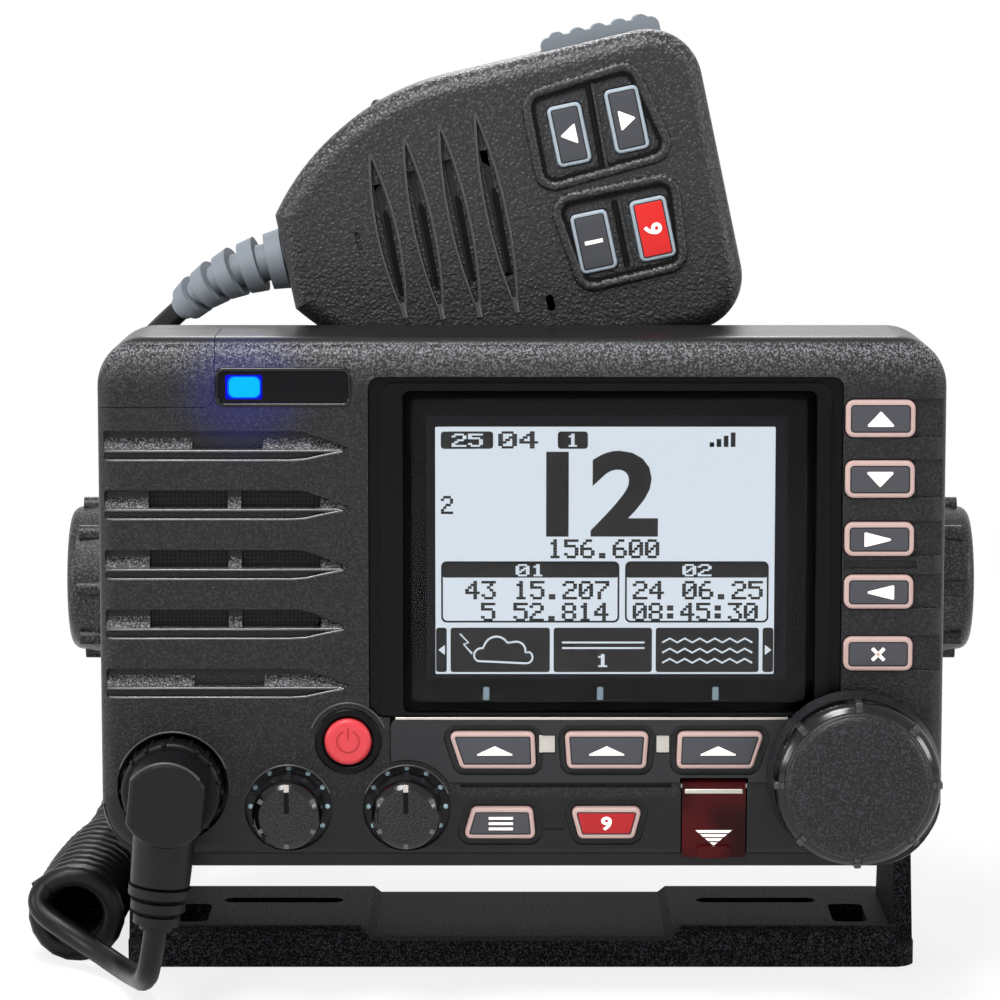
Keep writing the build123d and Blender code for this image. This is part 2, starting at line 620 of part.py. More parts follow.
relief = Cone(cord_d / 2 + 1.0, neck_r0 - 2.2, neck_end - relief_end)
relief = Pos(0, neck_y, (neck_end + relief_end) / 2) * relief
for index in range(3):
    z = neck_end - 1.6 - 3.1 * index
    radius = neck_r0 - 0.3 - 0.8 * index
    relief += Pos(0, neck_y, z) * Cylinder(radius, 1.9)
save(to_socket * relief, "plug_relief")
relief_tip = to_socket * Pos(0, neck_y, relief_end)
tip_point = Vector(*relief_tip.position)
tip_down = Vector(-math.sin(math.radians(plug_lean)), 0, -math.cos(math.radians(plug_lean)))

# ---- rim gasket and rear chassis ----------------------------------------------------------------
case_outline = Pos(0, case_middle_z) * RectangleRounded(case_width, case_height, 6.0)
rim_outline = offset(panel_outline, amount=-0.6)
gasket_inner = RectangleRounded(case_width - 2 * case_wall, case_height - 2 * case_wall, 4.0)
gasket_inner = Pos(0, case_middle_z) * gasket_inner
gasket = prism(rim_outline - gasket_inner, panel_back_y + gasket_thick, panel_back_y)
rim_screws = [(x, z) for x in (-bezel_screw_x, bezel_screw_x) for z in bezel_screw_zs]
for x, z in rim_screws:
    gasket -= disc(x, z, bezel_screw_r + 0.3, panel_back_y + 3, panel_back_y - 1)
save(gasket, "rim_gasket")

chassis = prism(case_outline, case_back_y, case_front_y)
chassis = fillet(chassis.faces().sort_by(Axis.Y)[-1].outer_wire().edges(), 2.0)
rim_back_y = case_front_y + rim_plate_thick
chassis += prism(offset(panel_outline, amount=-0.8), rim_back_y, case_front_y)
chassis -= prism(gasket_inner, case_back_y - case_wall, case_front_y - 1)
fin_span = case_width - 30.0
for index in range(fin_count):
    x = -fin_span / 2 + fin_span * index / (fin_count - 1)
    chassis += box_between(x - fin_thick / 2, x + fin_thick / 2, case_back_y - 1, fin_back_y,
                           case_middle_z - 2.0, case_top_z - 5.0)
for side in (-1, 1):
    x0, x1 = sorted((side * (case_width / 2 - case_wall - 6.0), side * boss_outer_x))
    chassis += x_disc(x0, x1, 0, axis_z, pivot_boss_r - 4.0)
    x0, x1 = sorted((side * (case_width / 2 - 1.0), side * boss_outer_x))
    chassis += x_disc(x0, x1, 0, axis_z, pivot_boss_r)
for side in (-1, 1):
    x0, x1 = sorted((side * (stud_tip_x - 0.8), side * (boss_outer_x + 1)))
    chassis -= x_disc(x0, x1, 0, axis_z, stud_r + fit_gap)
for x, z in rim_screws:
    chassis -= disc(x, z, bezel_screw_r + 0.3, rim_back_y + 1, case_front_y - 1)
    chassis -= disc(x, z, screw_head_r + joint_gap, fin_back_y, rim_back_y)
antenna_x = 44.0
gland_x = -34.0
rear_port_z = case_bottom_z + port_inset
antenna_r = 8.0
gland_r = 7.5
chassis -= disc(antenna_x, rear_port_z, antenna_r - 2.5 + 0.1, case_back_y + 1, case_back_y - case_wall - 1)
chassis -= disc(gland_x, rear_port_z, gland_r - 2.0 + 0.1, case_back_y + 1, case_back_y - case_wall - 1)
for x, z in board_posts:
    chassis += disc(x, z, 3.5, case_back_y - case_wall + 0.5, main_board_y + board_thick)
save(chassis, "rear_chassis")

pads = []
for side in (-1, 1):
    x0, x1 = sorted((side * boss_outer_x, side * (boss_outer_x + pad_thick)))
    pad = x_disc(x0, x1, 0, axis_z, pivot_boss_r - 1.0)
    pads.append(pad - x_disc(x0 - 1, x1 + 1, 0, axis_z, stud_r + 0.8))
save(Compound(children=pads), "friction_pads")

screws = []
for x, z in rim_screws:
    screw = disc(x, z, screw_head_r, rim_back_y + 1.8, rim_back_y)
    screw = fillet(screw.edges().group_by(Axis.Y)[-1], 0.7)
    screw += disc(x, z, bezel_screw_r - fit_gap, rim_back_y + 0.1, panel_back_y - 12.0)
    screw -= prism(Pos(x, z) * RegularPolygon(1.1, 6), rim_back_y + 3, rim_back_y + 0.7)
    screws.append(screw)
save(Compound(children=screws), "case_screws")

antenna = disc(antenna_x, rear_port_z, antenna_r, case_back_y + 3.0, case_back_y)
antenna += disc(antenna_x, rear_port_z, antenna_r - 2.0, case_back_y + 16.0, case_back_y + 2.0)
antenna += disc(antenna_x, rear_port_z, antenna_r - 2.5, case_back_y + 1.0, case_back_y - case_wall - 3.0)
antenna_bore_r = 4.2
antenna -= disc(antenna_x, rear_port_z, antenna_bore_r, case_back_y + 17.0, case_back_y + 6.0)
antenna += disc(antenna_x, rear_port_z, 1.4, case_back_y + 13.0, case_back_y + 5.0)
save(antenna, "antenna_socket")

gland = disc(gland_x, rear_port_z, gland_r - 2.0, case_back_y + 1.0, case_back_y - case_wall - 2.0)
gland += Pos(gland_x, case_back_y + 8.0, rear_port_z) * Rot(-90, 0, 0) * Cone(gland_r, gland_r - 2.6, 16.0)
for index in range(3):
    gland += disc(gland_x, rear_port_z, gland_r - 0.4 - 0.7 * index, case_back_y + 5.4 + 4 * index,
                  case_back_y + 3.6 + 4 * index)
gland -= disc(gland_x, rear_port_z, 3.0, case_back_y + 17.0, case_back_y + 4.0)
save(gland, "power_gland")

# ---- bracket ------------------------------------------------------------------------------------
base_half = arm_outer_x
bracket = box_between(-base_half, base_half, base_front_y, base_back_y, 0, base_thick)
bracket = fillet(bracket.edges().filter_by(Axis.Z), 5.0)
lip = box_between(-base_half + 4, base_half - 4, base_front_y, base_front_y + lip_thick, 0, lip_height)
lip = fillet(lip.edges().filter_by(Axis.X).group_by(Axis.Z)[-1], 2.0)
bracket += lip
middle_half = 33.0
middle_drop = 3.0


def trough(low_z, high_z, flare):
    """Outline of a shallow trough across the middle of the base."""
    return outline([(-middle_half - flare, high_z), (-middle_half, low_z),
                    (middle_half, low_z), (middle_half + flare, high_z)])


bracket -= prism(trough(lip_height - middle_drop, lip_height + 1, 4.0), base_front_y + lip_thick + 1,
                 base_front_y - 1)
bracket -= prism(trough(base_thick - 1.4, base_thick + 1, 3.0), base_back_y + 1, base_front_y + lip_thick)
for side_x in (-slot_middle_x, slot_middle_x):
    for side_y in (-slot_middle_y, slot_middle_y):
        slot = Pos(side_x, side_y) * SlotOverall(slot_length, slot_width)
        bracket -= Pos(0, 0, -1) * extrude(slot, base_thick + 2)
    window = Pos(side_x + math.copysign(20.5, side_x), 2.0) * RectangleRounded(8.0, 18.0, 2.0)
    bracket -= Pos(0, 0, -1) * extrude(window, base_thick + 2)
arm_side = make_face(Polyline((base_front_y + 6, 0), (base_back_y - 6, 0), (arm_r, 34), (arm_r, axis_z),
                              (-arm_r, axis_z), (-arm_r, 34), close=True))
arm_side += Pos(0, axis_z) * Circle(arm_r)
for side in (-1, 1):
    arm = extrude(side_plane * arm_side, arm_thick)
    x0 = arm_outer_x - arm_thick if side > 0 else -arm_outer_x
    bracket += Pos(x0, 0, 0) * arm
for side in (-1, 1):
    x0, x1 = sorted((side * (arm_inner_x - 1), side * (arm_outer_x + 1)))
    bracket -= x_disc(x0, x1, 0, axis_z, stud_r + 0.6)
save(bracket, "bracket")

# ---- clamp knobs --------------------------------------------------------------------------------
for name, side in (("clamp_knob_left", -1), ("clamp_knob_right", 1)):
    inner_x = arm_outer_x + joint_gap
    knob = Rot(0, 90, 0) * Cone(clamp_r, clamp_r - 2.0, clamp_thick)
    knob = Pos(inner_x + clamp_thick / 2, 0, axis_z) * knob
    knob = fillet(knob.edges().group_by(Axis.X)[-1], 2.5)
    for index in range(8):
        angle = math.radians(45 * index)
        rib_place = Pos(inner_x + clamp_thick * 0.45, (clamp_r - 1.2) * math.cos(angle),
                        axis_z + (clamp_r - 1.2) * math.sin(angle))
        knob += rib_place * Rot(0, 90, 0) * Cylinder(1.8, clamp_thick * 0.7)
    knob += x_disc(stud_tip_x, inner_x + 1, 0, axis_z, stud_r)
    save(knob if side > 0 else mirror(knob, about=Plane.YZ), name)

# ---- hand microphone ----------------------------------------------------------------------------
mic_front_y = case_front_y + rim_plate_thick + mic_gap
mic_back_y = mic_front_y + mic_thick
split_y = mic_front_y + mic_split


def mic_profile(inset=0.0):
    """Outline of the microphone in its own frame: x along it from the cord end, y across it."""
    neck = (1.0 + inset, mic_neck_half - inset * 0.5)
    shoulder = (44.0 * mic_unit, mic_half_width - 0.6 - inset)
    far_corner = (mic_length - 1.0 - inset, mic_half_width + 0.6 - inset)
    backward = (shoulder[0] - far_corner[0], shoulder[1] - far_corner[1])
    upper = [TangentArc(shoulder, neck, tangent=backward), Line(shoulder, far_corner)]
    lower = [edge.mirror(Plane.XZ) for edge in upper]
    ends = [Line(far_corner, (far_corner[0], -far_corner[1])), Line(neck, (neck[0], -neck[1]))]
    shape = make_face(upper + lower + ends)
    return fillet(shape.vertices().group_by(Axis.X)[-1], mic_far_corner_r - inset)


profile = mic_profile()
mic_rise = -(Rot(0, 0, mic_tilt) * profile).bounding_box().min.Y
mic_place = Pos(mic_x, 0, case_top_z + joint_gap + mic_rise) * Rot(0, -mic_tilt, 0)
front_shell = prism(profile, split_y, mic_front_y)
front_shell = fillet(front_shell.faces().sort_by(Axis.Y)[0].outer_wire().edges(), 4.5)
rear_shell = prism(profile, mic_back_y, split_y)
rear_shell = fillet(rear_shell.faces().sort_by(Axis.Y)[-1].outer_wire().edges(), 4.0)
mic_hollow = mic_profile(mic_wall)
front_shell -= prism(mic_hollow, split_y + 1, mic_front_y + mic_wall)
rear_shell -= prism(mic_hollow, mic_back_y - mic_wall, split_y - 1)

leaf_u = [u * mic_unit for u in (24.4, 32.4, 40.5, 48.7)]
leaf_half = [18.5, 20.5, 21.7, 22.4]
leaf_width = 4.4
leaf_depth = 1.5
for u, half in zip(leaf_u, leaf_half):
    leaf = make_face([ThreePointArc((u, half + 1), (u + leaf_width / 2, 1), (u, 1 - half)),
                      ThreePointArc((u, 1 - half), (u - leaf_width / 2, 1), (u, half + 1))])
    front_shell -= prism(leaf, mic_front_y + leaf_depth, mic_front_y - 1)
    slot = Pos(u, 1) * Rectangle(1.6, half * 1.25)
    front_shell -= prism(slot, mic_front_y + mic_wall + 1, mic_front_y - 1)

mic_keys = {                # distance from the far end to a key's two ends, and across the microphone
    "mic_left_key": (35.9, 28.4, 7.8, 21.2),
    "mic_right_key": (23.0, 15.4, 8.1, 22.2),
    "mic_power_key": (35.8, 27.6, -16.1, -2.9),
    "mic_channel_key": (22.5, 14.4, -16.2, -2.6),
}
key_frames = [[(39.9, 24.5), (15.8, 26.6), (11.0, 5.8), (40.4, 3.9)],
              [(38.8, 0.9), (11.8, 0.9), (13.4, -18.6), (36.0, -19.2)]]
for points in key_frames:
    frame_outline = outline([(mic_length - away, across) for away, across in points], 2.5)
    front_shell -= prism(frame_outline, mic_front_y + 0.7, mic_front_y - 1)
mic_key_face_y = mic_front_y - 0.4
collar_front_y = mic_front_y + mic_wall + joint_gap
for name, (far0, far1, v0, v1) in mic_keys.items():
    u0 = mic_length - far0
    u1 = mic_length - far1
    front_shell -= rounded_box(u0 - key_gap, u1 + key_gap, v0 - key_gap, v1 + key_gap, 1.5,
                               mic_front_y + mic_wall + 1, mic_front_y - 1)
    key = rounded_box(u0, u1, v0, v1, 1.3, collar_front_y + 1.0, mic_key_face_y)
    key = fillet(key.faces().sort_by(Axis.Y)[0].outer_wire().edges(), 0.5)
    key += rounded_box(u0 - 0.9, u1 + 0.9, v0 - 0.9, v1 + 0.9, 1.3, collar_front_y + 1.0, collar_front_y)
    save(mic_place * key, name)
sound_hole = Pos(mic_length - 43.7, -20.7) * RectangleRounded(1.7, 3.7, 0.8)
front_shell -= prism(sound_hole, mic_front_y + mic_wall + 1, mic_front_y - 1)
front_shell -= prism(Pos(17.9, 0.9) * RectangleRounded(1.1, 5.0, 0.5), mic_front_y + 1.0, mic_front_y - 1)
for u, v in ((27.8, 28.9), (35.4, 30.2), (43.7, 31.0), (51.7, 31.4)):
    front_shell += Pos(u * mic_unit, split_y - 6.0, v) * Sphere(1.6)

# push-to-talk key on the upper long edge
ptt_u0 = mic_length - 34.2
ptt_u1 = mic_length - 7.6
ptt_back_y = split_y + 5.0
ptt_front_y = split_y - 9.0
ptt_top = mic_half_width + 3.6
ptt_inner = mic_half_width - mic_wall - 2.4 - ptt_travel
cut = box_between(ptt_u0 - key_gap, ptt_u1 + key_gap, ptt_front_y - key_gap, ptt_back_y + key_gap,
                  mic_half_width - mic_wall - 4, mic_half_width + 5)
front_shell -= cut
rear_shell -= cut
ptt = box_between(ptt_u0, ptt_u1, ptt_front_y, ptt_back_y, ptt_inner, ptt_top - 1.0)
ptt = fillet(ptt.edges().filter_by(Axis.Y).group_by(Axis.Z)[-1], 2.0)
for index in range(5):
    u = ptt_u0 + 3.9 + 4.7 * index
    ptt += Pos(u, (ptt_front_y + ptt_back_y) / 2, ptt_top - 2.0) * Rot(90, 0, 0) * Cylinder(
        1.9, ptt_back_y - ptt_front_y - 1.0)
save(mic_place * ptt, "ptt_key")

# parts behind and inside
hanger_u = mic_length * 0.46
hanger = disc(hanger_u, 0, 4.0, mic_back_y + 4.0, mic_back_y)
hanger += disc(hanger_u, 0, 7.5, mic_back_y + 6.2, mic_back_y + 4.0)
hanger = fillet(hanger.edges().group_by(Axis.Y)[-1], 0.8)
save(mic_place * hanger, "mic_hanger_stud")

mic_screw_places = [(14.0, 0.0), (mic_length - 8.0, -20.0), (mic_length - 8.0, 20.0)]
mic_screws = []
for u, v in mic_screw_places:
    rear_shell += disc(u, v, 3.6, mic_back_y - mic_wall, split_y)
    front_shell += disc(u, v, 3.6, split_y, mic_front_y + mic_wall)
    rear_shell -= disc(u, v, 2.7, mic_back_y + 1, mic_back_y - 4.0)
    rear_shell -= disc(u, v, 1.5, mic_back_y, split_y - 1)
    front_shell -= disc(u, v, 1.5, split_y + 1, split_y - 9.0)
    screw = disc(u, v, 2.4, mic_back_y - 1.8, mic_back_y - 4.0)
    screw -= prism(Pos(u, v) * RegularPolygon(1.1, 6), mic_back_y, mic_back_y - 3.0)
    screw += disc(u, v, 1.45, mic_back_y - 3.9, split_y - 7.0)
    mic_screws.append(screw)
save(mic_place * Compound(children=mic_screws), "mic_screws")

speaker_u = 36.5 * mic_unit
mic_speaker_y = mic_front_y + mic_wall
mic_speaker = disc(speaker_u, 0, 17.0 * mic_unit, mic_speaker_y + 5.0, mic_speaker_y)
mic_speaker += disc(speaker_u, 0, 8.0, mic_speaker_y + 9.0, mic_speaker_y + 4.0)
save(mic_place * mic_speaker, "mic_speaker")
mic_board_y = collar_front_y + 1.0 + key_travel + 0.3
mic_board = box_between(mic_length - 39.0, mic_length - 12.5, mic_board_y, mic_board_y + board_thick,
                        -17.8, 17.8)
for v in (-12.0, 12.0):
    rear_shell += disc(mic_length - 25.5, v, 2.0, mic_back_y - mic_wall, mic_board_y + board_thick)
save(mic_place * mic_board, "mic_board")

save(mic_place * front_shell, "mic_front_shell")
save(mic_place * rear_shell, "mic_rear_shell")

# segmented strain relief, bending down to the left and back
relief_y = split_y - 1.0
relief_local = Vector(0.35, relief_y, 0)
turn_down = [0, 6, 14, 22, 30]
turn_back = [0, 6, 14, 22, 30]
segment = 5.6
radii = [6.8, 6.3, 5.8, 5.2, 4.7, 4.3]
point = mic_place * Pos(*relief_local)
here = Vector(*point.position)
relief_parts = []
for index, (down, back) in enumerate(zip(turn_down, turn_back)):
    pitch = math.radians(mic_tilt + down)
    yaw = math.radians(back)
    along = Vector(-math.cos(pitch) * math.cos(yaw), math.sin(yaw), -math.sin(pitch) * math.cos(yaw))
    plane = Plane(here, z_dir=along)
    core = plane * Pos(0, 0, segment / 2) * Cylinder(radii[index] * 0.62, segment + 1.2)
    rib = plane * Pos(0, 0, segment * 0.38) * Cone(radii[index], radii[index + 1], segment * 0.66)
    relief_parts += [core, rib]
    here = here + along * segment
save(Part() + relief_parts, "mic_strain_relief")

# ---- cords --------------------------------------------------------------------------------------
def tube(points, diameter, name):
    """A round tube along straight runs joined by the largest tangent arcs that the runs allow."""
    points = [Vector(*p) for p in points]
    radii = []
    for before, corner, after in zip(points, points[1:], points[2:]):
        turn = math.radians((corner - before).get_angle(after - corner))
        run = min((corner - before).length, (after - corner).length)
        radii.append(0.45 * run / math.tan(turn / 2))
    path = FilletPolyline(*points, radius=radii)
    start = Plane(points[0], z_dir=points[1] - points[0])
    solid = sweep(start * Circle(diameter / 2), path=path)
    ratio = solid.volume / (math.pi * diameter ** 2 / 4 * path.length)
    print(name, "length", round(path.length, 1), "radii", [round(r, 1) for r in radii],
          "volume", round(ratio, 4))
    save(solid, name)


lead_r = cord_d / 2
coil_r = coil_d / 2
plug_route = [tip_point, tip_point + tip_down * 11.5, (-81.5, -70.0, 3.2), (-84.5, -57.0, lead_r + 0.1),
              (-88.0, -43.0, lead_r + 0.1), (-95.5, -34.0, 4.5), (-103.0, -29.5, 9.5), (-106.6, -25.0, 14.6)]
tube(plug_route, cord_d, "plug_lead")

coil_route = [(-100.6, -26.0, coil_r), (-100.4, 0.0, coil_r), (-99.6, 24.0, coil_r), (-98.0, 45.7, coil_r),
              (-95.5, 64.3, 21.5), (-93.2, 74.6, 40.0), (-92.0, 75.0, 61.0), (-92.0, 75.0, 82.0)]
tube(coil_route, coil_d, "curly_cord")

mic_end = here + along * 0.6
mic_route = [mic_end, mic_end + along * 13.0, (-88.6, 12.0, 133.5), (-89.5, 31.0, 131.0),
             (-90.5, 50.0, 126.5), (-91.4, 66.0, 115.0), (-92.0, 75.0, 100.0), (-92.0, 75.0, 82.0)]
tube(mic_route, cord_d, "mic_lead")
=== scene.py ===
import math

import bmesh
import bpy
from bpy.props import FloatProperty, FloatVectorProperty, PointerProperty
from mathutils import Matrix, Vector


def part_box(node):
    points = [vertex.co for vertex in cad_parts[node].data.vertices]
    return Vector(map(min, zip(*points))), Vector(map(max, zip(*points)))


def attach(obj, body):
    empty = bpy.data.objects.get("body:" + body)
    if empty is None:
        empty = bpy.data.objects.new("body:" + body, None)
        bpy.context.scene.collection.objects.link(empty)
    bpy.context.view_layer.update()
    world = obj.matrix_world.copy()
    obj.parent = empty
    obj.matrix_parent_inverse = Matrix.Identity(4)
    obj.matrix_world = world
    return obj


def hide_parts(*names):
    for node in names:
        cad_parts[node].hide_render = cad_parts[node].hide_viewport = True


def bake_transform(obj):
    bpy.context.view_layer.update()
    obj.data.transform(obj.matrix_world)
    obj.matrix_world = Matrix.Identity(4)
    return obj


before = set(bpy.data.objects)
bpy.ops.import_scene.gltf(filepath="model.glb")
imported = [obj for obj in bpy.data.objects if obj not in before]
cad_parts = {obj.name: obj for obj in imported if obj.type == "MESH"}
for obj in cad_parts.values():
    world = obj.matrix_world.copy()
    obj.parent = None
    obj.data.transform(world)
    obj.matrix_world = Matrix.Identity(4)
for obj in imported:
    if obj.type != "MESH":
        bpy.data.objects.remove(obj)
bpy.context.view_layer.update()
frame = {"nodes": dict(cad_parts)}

bl_info = {
    "name": "Marine radio finishes and trim",
    "version": (1, 0, 0),
    "blender": (4, 5, 0),
    "location": "3D View > Sidebar > Radio",
    "description": "Dresses the bare solids of a fixed-mount marine radio with its finishes, "
                   "keys, display and cords",
    "category": "Object",
}

MM = 0.001


# ---- colours and sizes that a user would change -------------------------------------------------
def linear(code):
    """The linear colour of an sRGB hex code."""
    channels = [int(code[i:i + 2], 16) / 255 for i in (1, 3, 5)]
    return tuple(c / 12.92 if c <= 0.04045 else ((c + 0.055) / 1.055) ** 2.4 for c in channels)


def colour(name, code, description):
    return FloatVectorProperty(name=name, description=description, subtype="COLOR", size=3,
                               min=0.0, max=1.0, default=linear(code))


def length(name, millimetres, description):
    return FloatProperty(name=name, description=description, unit="LENGTH", precision=5,
                         min=0.0, default=millimetres * MM)


class RadioColours(bpy.types.PropertyGroup):
    housing: colour("Housing", "#0c0c0e", "Moulded ABS of the front panel")
    satin: colour("Satin trim", "#1b1c1e", "Smooth ABS of the trim below the display")
    frame: colour("Display frame", "#08080a", "Smooth ABS round the display")
    chassis: colour("Chassis", "#121315", "Powder coat on the die-cast chassis")
    bracket: colour("Bracket", "#0c0c0e", "Glass-filled nylon of the bracket")
    microphone: colour("Microphone", "#131315", "Leather-grained ABS of the hand microphone")
    knob: colour("Knobs", "#0f0f11", "Satin ABS of the knobs and the dial")
    cord: colour("Cord", "#08080a", "Polyurethane jacket of the cords")
    plug: colour("Plug", "#08090b", "Soft PVC moulded over the plug")
    relief: colour("Strain relief", "#727980", "Grey rubber on the microphone")
    key_rim: colour("Key rim", "#af9590", "Translucent silicone rim of the panel keys")
    key_face: colour("Key face", "#3c3d42", "Printed face of the panel keys")
    mic_rim: colour("Microphone key rim", "#949fa8", "Translucent silicone rim of the microphone keys")
    mark: colour("Key marks", "#fff3ef", "Back-lit marks on the keys")
    red_key: colour("Red panel key", "#9c141a", "Face of the red channel key")
    red_mic: colour("Red microphone key", "#c9211f", "Face of the red microphone key")
    red_power: colour("Power button", "#c43a41", "Silicone of the power button")
    red_flap: colour("Flap", "#40080b", "Clear red acrylic of the flap over the distress button")
    lens: colour("Display print", "#050507", "Black print behind the display lens")
    display: colour("Display light", "#dbe5ef", "Back light of the display")
    display_edge: colour("Display edge", "#1a1a1e", "Unlit border of the display")
    ink: colour("Display ink", "#050507", "Dark segments of the display")
    dots: colour("Scale dots", "#b5d3dd", "Printed dots round the knobs")
    lamp: colour("Indicator lamp", "#00c0ff", "Lit part of the indicator window")
    floor: colour("Floor", "#f4f4f4", "Pale floor and backdrop")


class RadioSizes(bpy.types.PropertyGroup):
    grain: length("Housing grain", 0.4, "Width of one bump of the spark-eroded texture")
    leather: length("Microphone grain", 0.75, "Width of one cell of the leather grain")
    wire: length("Cord", 5.0, "Diameter of the cord")
    coil_radius: length("Coil radius", 8.25, "Radius of the curly cord's centre line")
    coil_pitch: length("Coil pitch", 5.25, "Distance from turn to turn of the curly cord")
    rim_width: length("Key rim", 1.0, "Width of the pale rim round a key's face")
    dot_radius: length("Scale dots", 0.55, "Radius of a printed dot round a knob")
    mesh_pitch: length("Speaker mesh", 0.9, "Distance between holes in the speaker mesh")
    lens_length: FloatProperty(name="Camera lens", description="Focal length of the camera",
                               unit="CAMERA", default=144.4)


# ---- outlines -----------------------------------------------------------------------------------
# Outlines are (x, z) seen from the front, in millimetres and anticlockwise; depths are y.
def rounded(corners, radius, steps=6):
    """A closed outline through these corners, each rounded by an arc."""
    made = []
    for index, corner in enumerate(corners):
        here = Vector(corner)
        to_last = (Vector(corners[index - 1]) - here).normalized()
        to_next = (Vector(corners[(index + 1) % len(corners)]) - here).normalized()
        half = to_last.angle(to_next) / 2
        centre = here + (to_last + to_next).normalized() * radius / math.sin(half)
        start = here + to_last * radius / math.tan(half) - centre
        end = here + to_next * radius / math.tan(half) - centre
        first = math.atan2(start.y, start.x)
        turn = (math.atan2(end.y, end.x) - first + math.pi) % math.tau - math.pi
        for step in range(steps + 1):
            angle = first + turn * step / steps
            made.append((centre.x + radius * math.cos(angle), centre.y + radius * math.sin(angle)))
    return made


def rectangle(x0, x1, z0, z1, radius):
    return rounded([(x0, z0), (x1, z0), (x1, z1), (x0, z1)], radius)


def turned_outline(x, z, corners, turn, radius):
    """A rounded outline about (x, z), turned by degrees."""
    way = Matrix.Rotation(math.radians(turn), 2)
    places = [way @ Vector(corner) for corner in corners]
    return rounded([(x + place.x, z + place.y) for place in places], radius, steps=3)


def arrow_outline(x, z, long, wide, turn, radius):
    """A triangle that points to the right before it is turned."""
    corners = ((-long / 2, -wide / 2), (long / 2, 0), (-long / 2, wide / 2))
    return turned_outline(x, z, corners, turn, radius)


def bar_outline(x, z, long, wide, turn, radius=0.1):
    corners = ((-long / 2, -wide / 2), (long / 2, -wide / 2), (long / 2, wide / 2), (-long / 2, wide / 2))
    return turned_outline(x, z, corners, turn, radius)


def polar(x, z, radius, degrees):
    """The point at this distance and angle from (x, z)."""
    way = math.radians(degrees)
    return x + radius * math.cos(way), z + radius * math.sin(way)


def arc_at(x, z, radius, y, degrees):
    """Points (x, y, z) along an arc at depth y."""
    return [(px, y, pz) for px, pz in (polar(x, z, radius, a) for a in degrees)]


def circle(x, z, radius, steps=32):
    return [(x + radius * math.cos(math.tau * i / steps), z + radius * math.sin(math.tau * i / steps))
            for i in range(steps)]


def inset(outline, distance):
    """The outline moved inwards by a distance."""
    made = []
    for index, point in enumerate(outline):
        here = Vector(point)
        before = here - Vector(outline[index - 1])
        after = Vector(outline[(index + 1) % len(outline)]) - here
        sides = [Vector((-edge.y, edge.x)).normalized() for edge in (before, after)
                 if edge.length > 1e-6]
        middle = sum(sides, Vector((0, 0))).normalized()
        # the floor of 0.4 keeps a sharp corner from running far out
        made.append(tuple(here + middle * distance / max(middle.dot(sides[0]), 0.4)))
    return made


# ---- solids -------------------------------------------------------------------------------------
CROWN_RINGS = (0.8, 0.55, 0.25)      # rings of a crowned face, as shares of its outline
PRINT = 0.05                         # thickness of a printed or lit mark
SMOOTH_BELOW = math.radians(40.0)    # edges that are flatter than this are shaded smooth


def skin(bm, rings, slot=0, closed_ends=True):
    """Faces from ring to ring of points, with a cap on each end or joined to a loop."""
    loops = [[bm.verts.new(point) for point in ring] for ring in rings]
    pairs = list(zip(loops, loops[1:]))
    if not closed_ends:
        pairs.append((loops[0], loops[-1]))
    faces = []
    for lower, upper in pairs:
        for index in range(len(lower)):
            following = (index + 1) % len(lower)
            faces.append(bm.faces.new((lower[index], lower[following], upper[following], upper[index])))
    if closed_ends:
        faces += [bm.faces.new(loops[0]), bm.faces.new(loops[-1])]
    for face in faces:
        face.material_index = slot


def ring_at(outline, y):
    return [(x, y, z) for x, z in outline]


def edge_steps(edge):
    """(inset, drop) of the points across a rounded edge."""
    if not edge:
        return [(0.0, 0.0)]
    return [(edge * (1 - math.cos(math.radians(a))), edge * (1 - math.sin(math.radians(a))))
            for a in (0, 22.5, 45, 67.5, 90)]


def slab(bm, outline, back, front, edge=0.0, slot=0, crown=0.0):
    """A plate from depth back to front with a rounded front edge, its middle proud by crown."""
    rings = [ring_at(outline, back)]
    rings += [ring_at(inset(outline, inwards), front + drop) for inwards, drop in edge_steps(edge)]
    if crown:
        middle_x = sum(x for x, z in outline) / len(outline)
        middle_z = sum(z for x, z in outline) / len(outline)
        top = inset(outline, edge)
        for share in CROWN_RINGS:
            rings.append([(middle_x + (x - middle_x) * share, front - crown * (1 - share * share),
                           middle_z + (z - middle_z) * share) for x, z in top])
    skin(bm, rings, slot)


def printed(bm, outline, y):
    """A thin mark on a surface at depth y."""
    slab(bm, outline, y, y - PRINT)


def band(bm, outer, inner, back, front, edge=0.0, slot=0):
    """A plate with an opening: both outlines have the same number of points."""
    steps = edge_steps(edge)
    rings = [ring_at(outer, back)]
    rings += [ring_at(inset(outer, inwards), front + drop) for inwards, drop in steps]
    rings += [ring_at(inset(inner, -inwards), front + drop) for inwards, drop in reversed(steps)]
    rings.append(ring_at(inner, back))
    skin(bm, rings, slot, closed_ends=False)


def lathe(bm, x, z, profile, steps=48):
    """A turned form about a line from front to back; the profile is (radius, y)."""
    skin(bm, [ring_at(circle(x, z, max(radius, 0.01), steps), y) for radius, y in profile])


def rod(bm, points, radius, sides=12, slot=0):
    """A round rod along points, all in the same unit."""
    points = [Vector(p) for p in points]
    along = [(b - a).normalized() for a, b in zip(points, points[1:])]
    along = [along[0]] + [(a + b).normalized() for a, b in zip(along, along[1:])] + [along[-1]]
    side = along[0].orthogonal().normalized()
    rings = []
    for point, direction in zip(points, along):
        side = (side - direction * side.dot(direction)).normalized()
        other = direction.cross(side)
        rings.append([point + radius * (math.cos(math.tau * i / sides) * side
                                        + math.sin(math.tau * i / sides) * other)
                      for i in range(sides)])
    skin(bm, rings, slot)


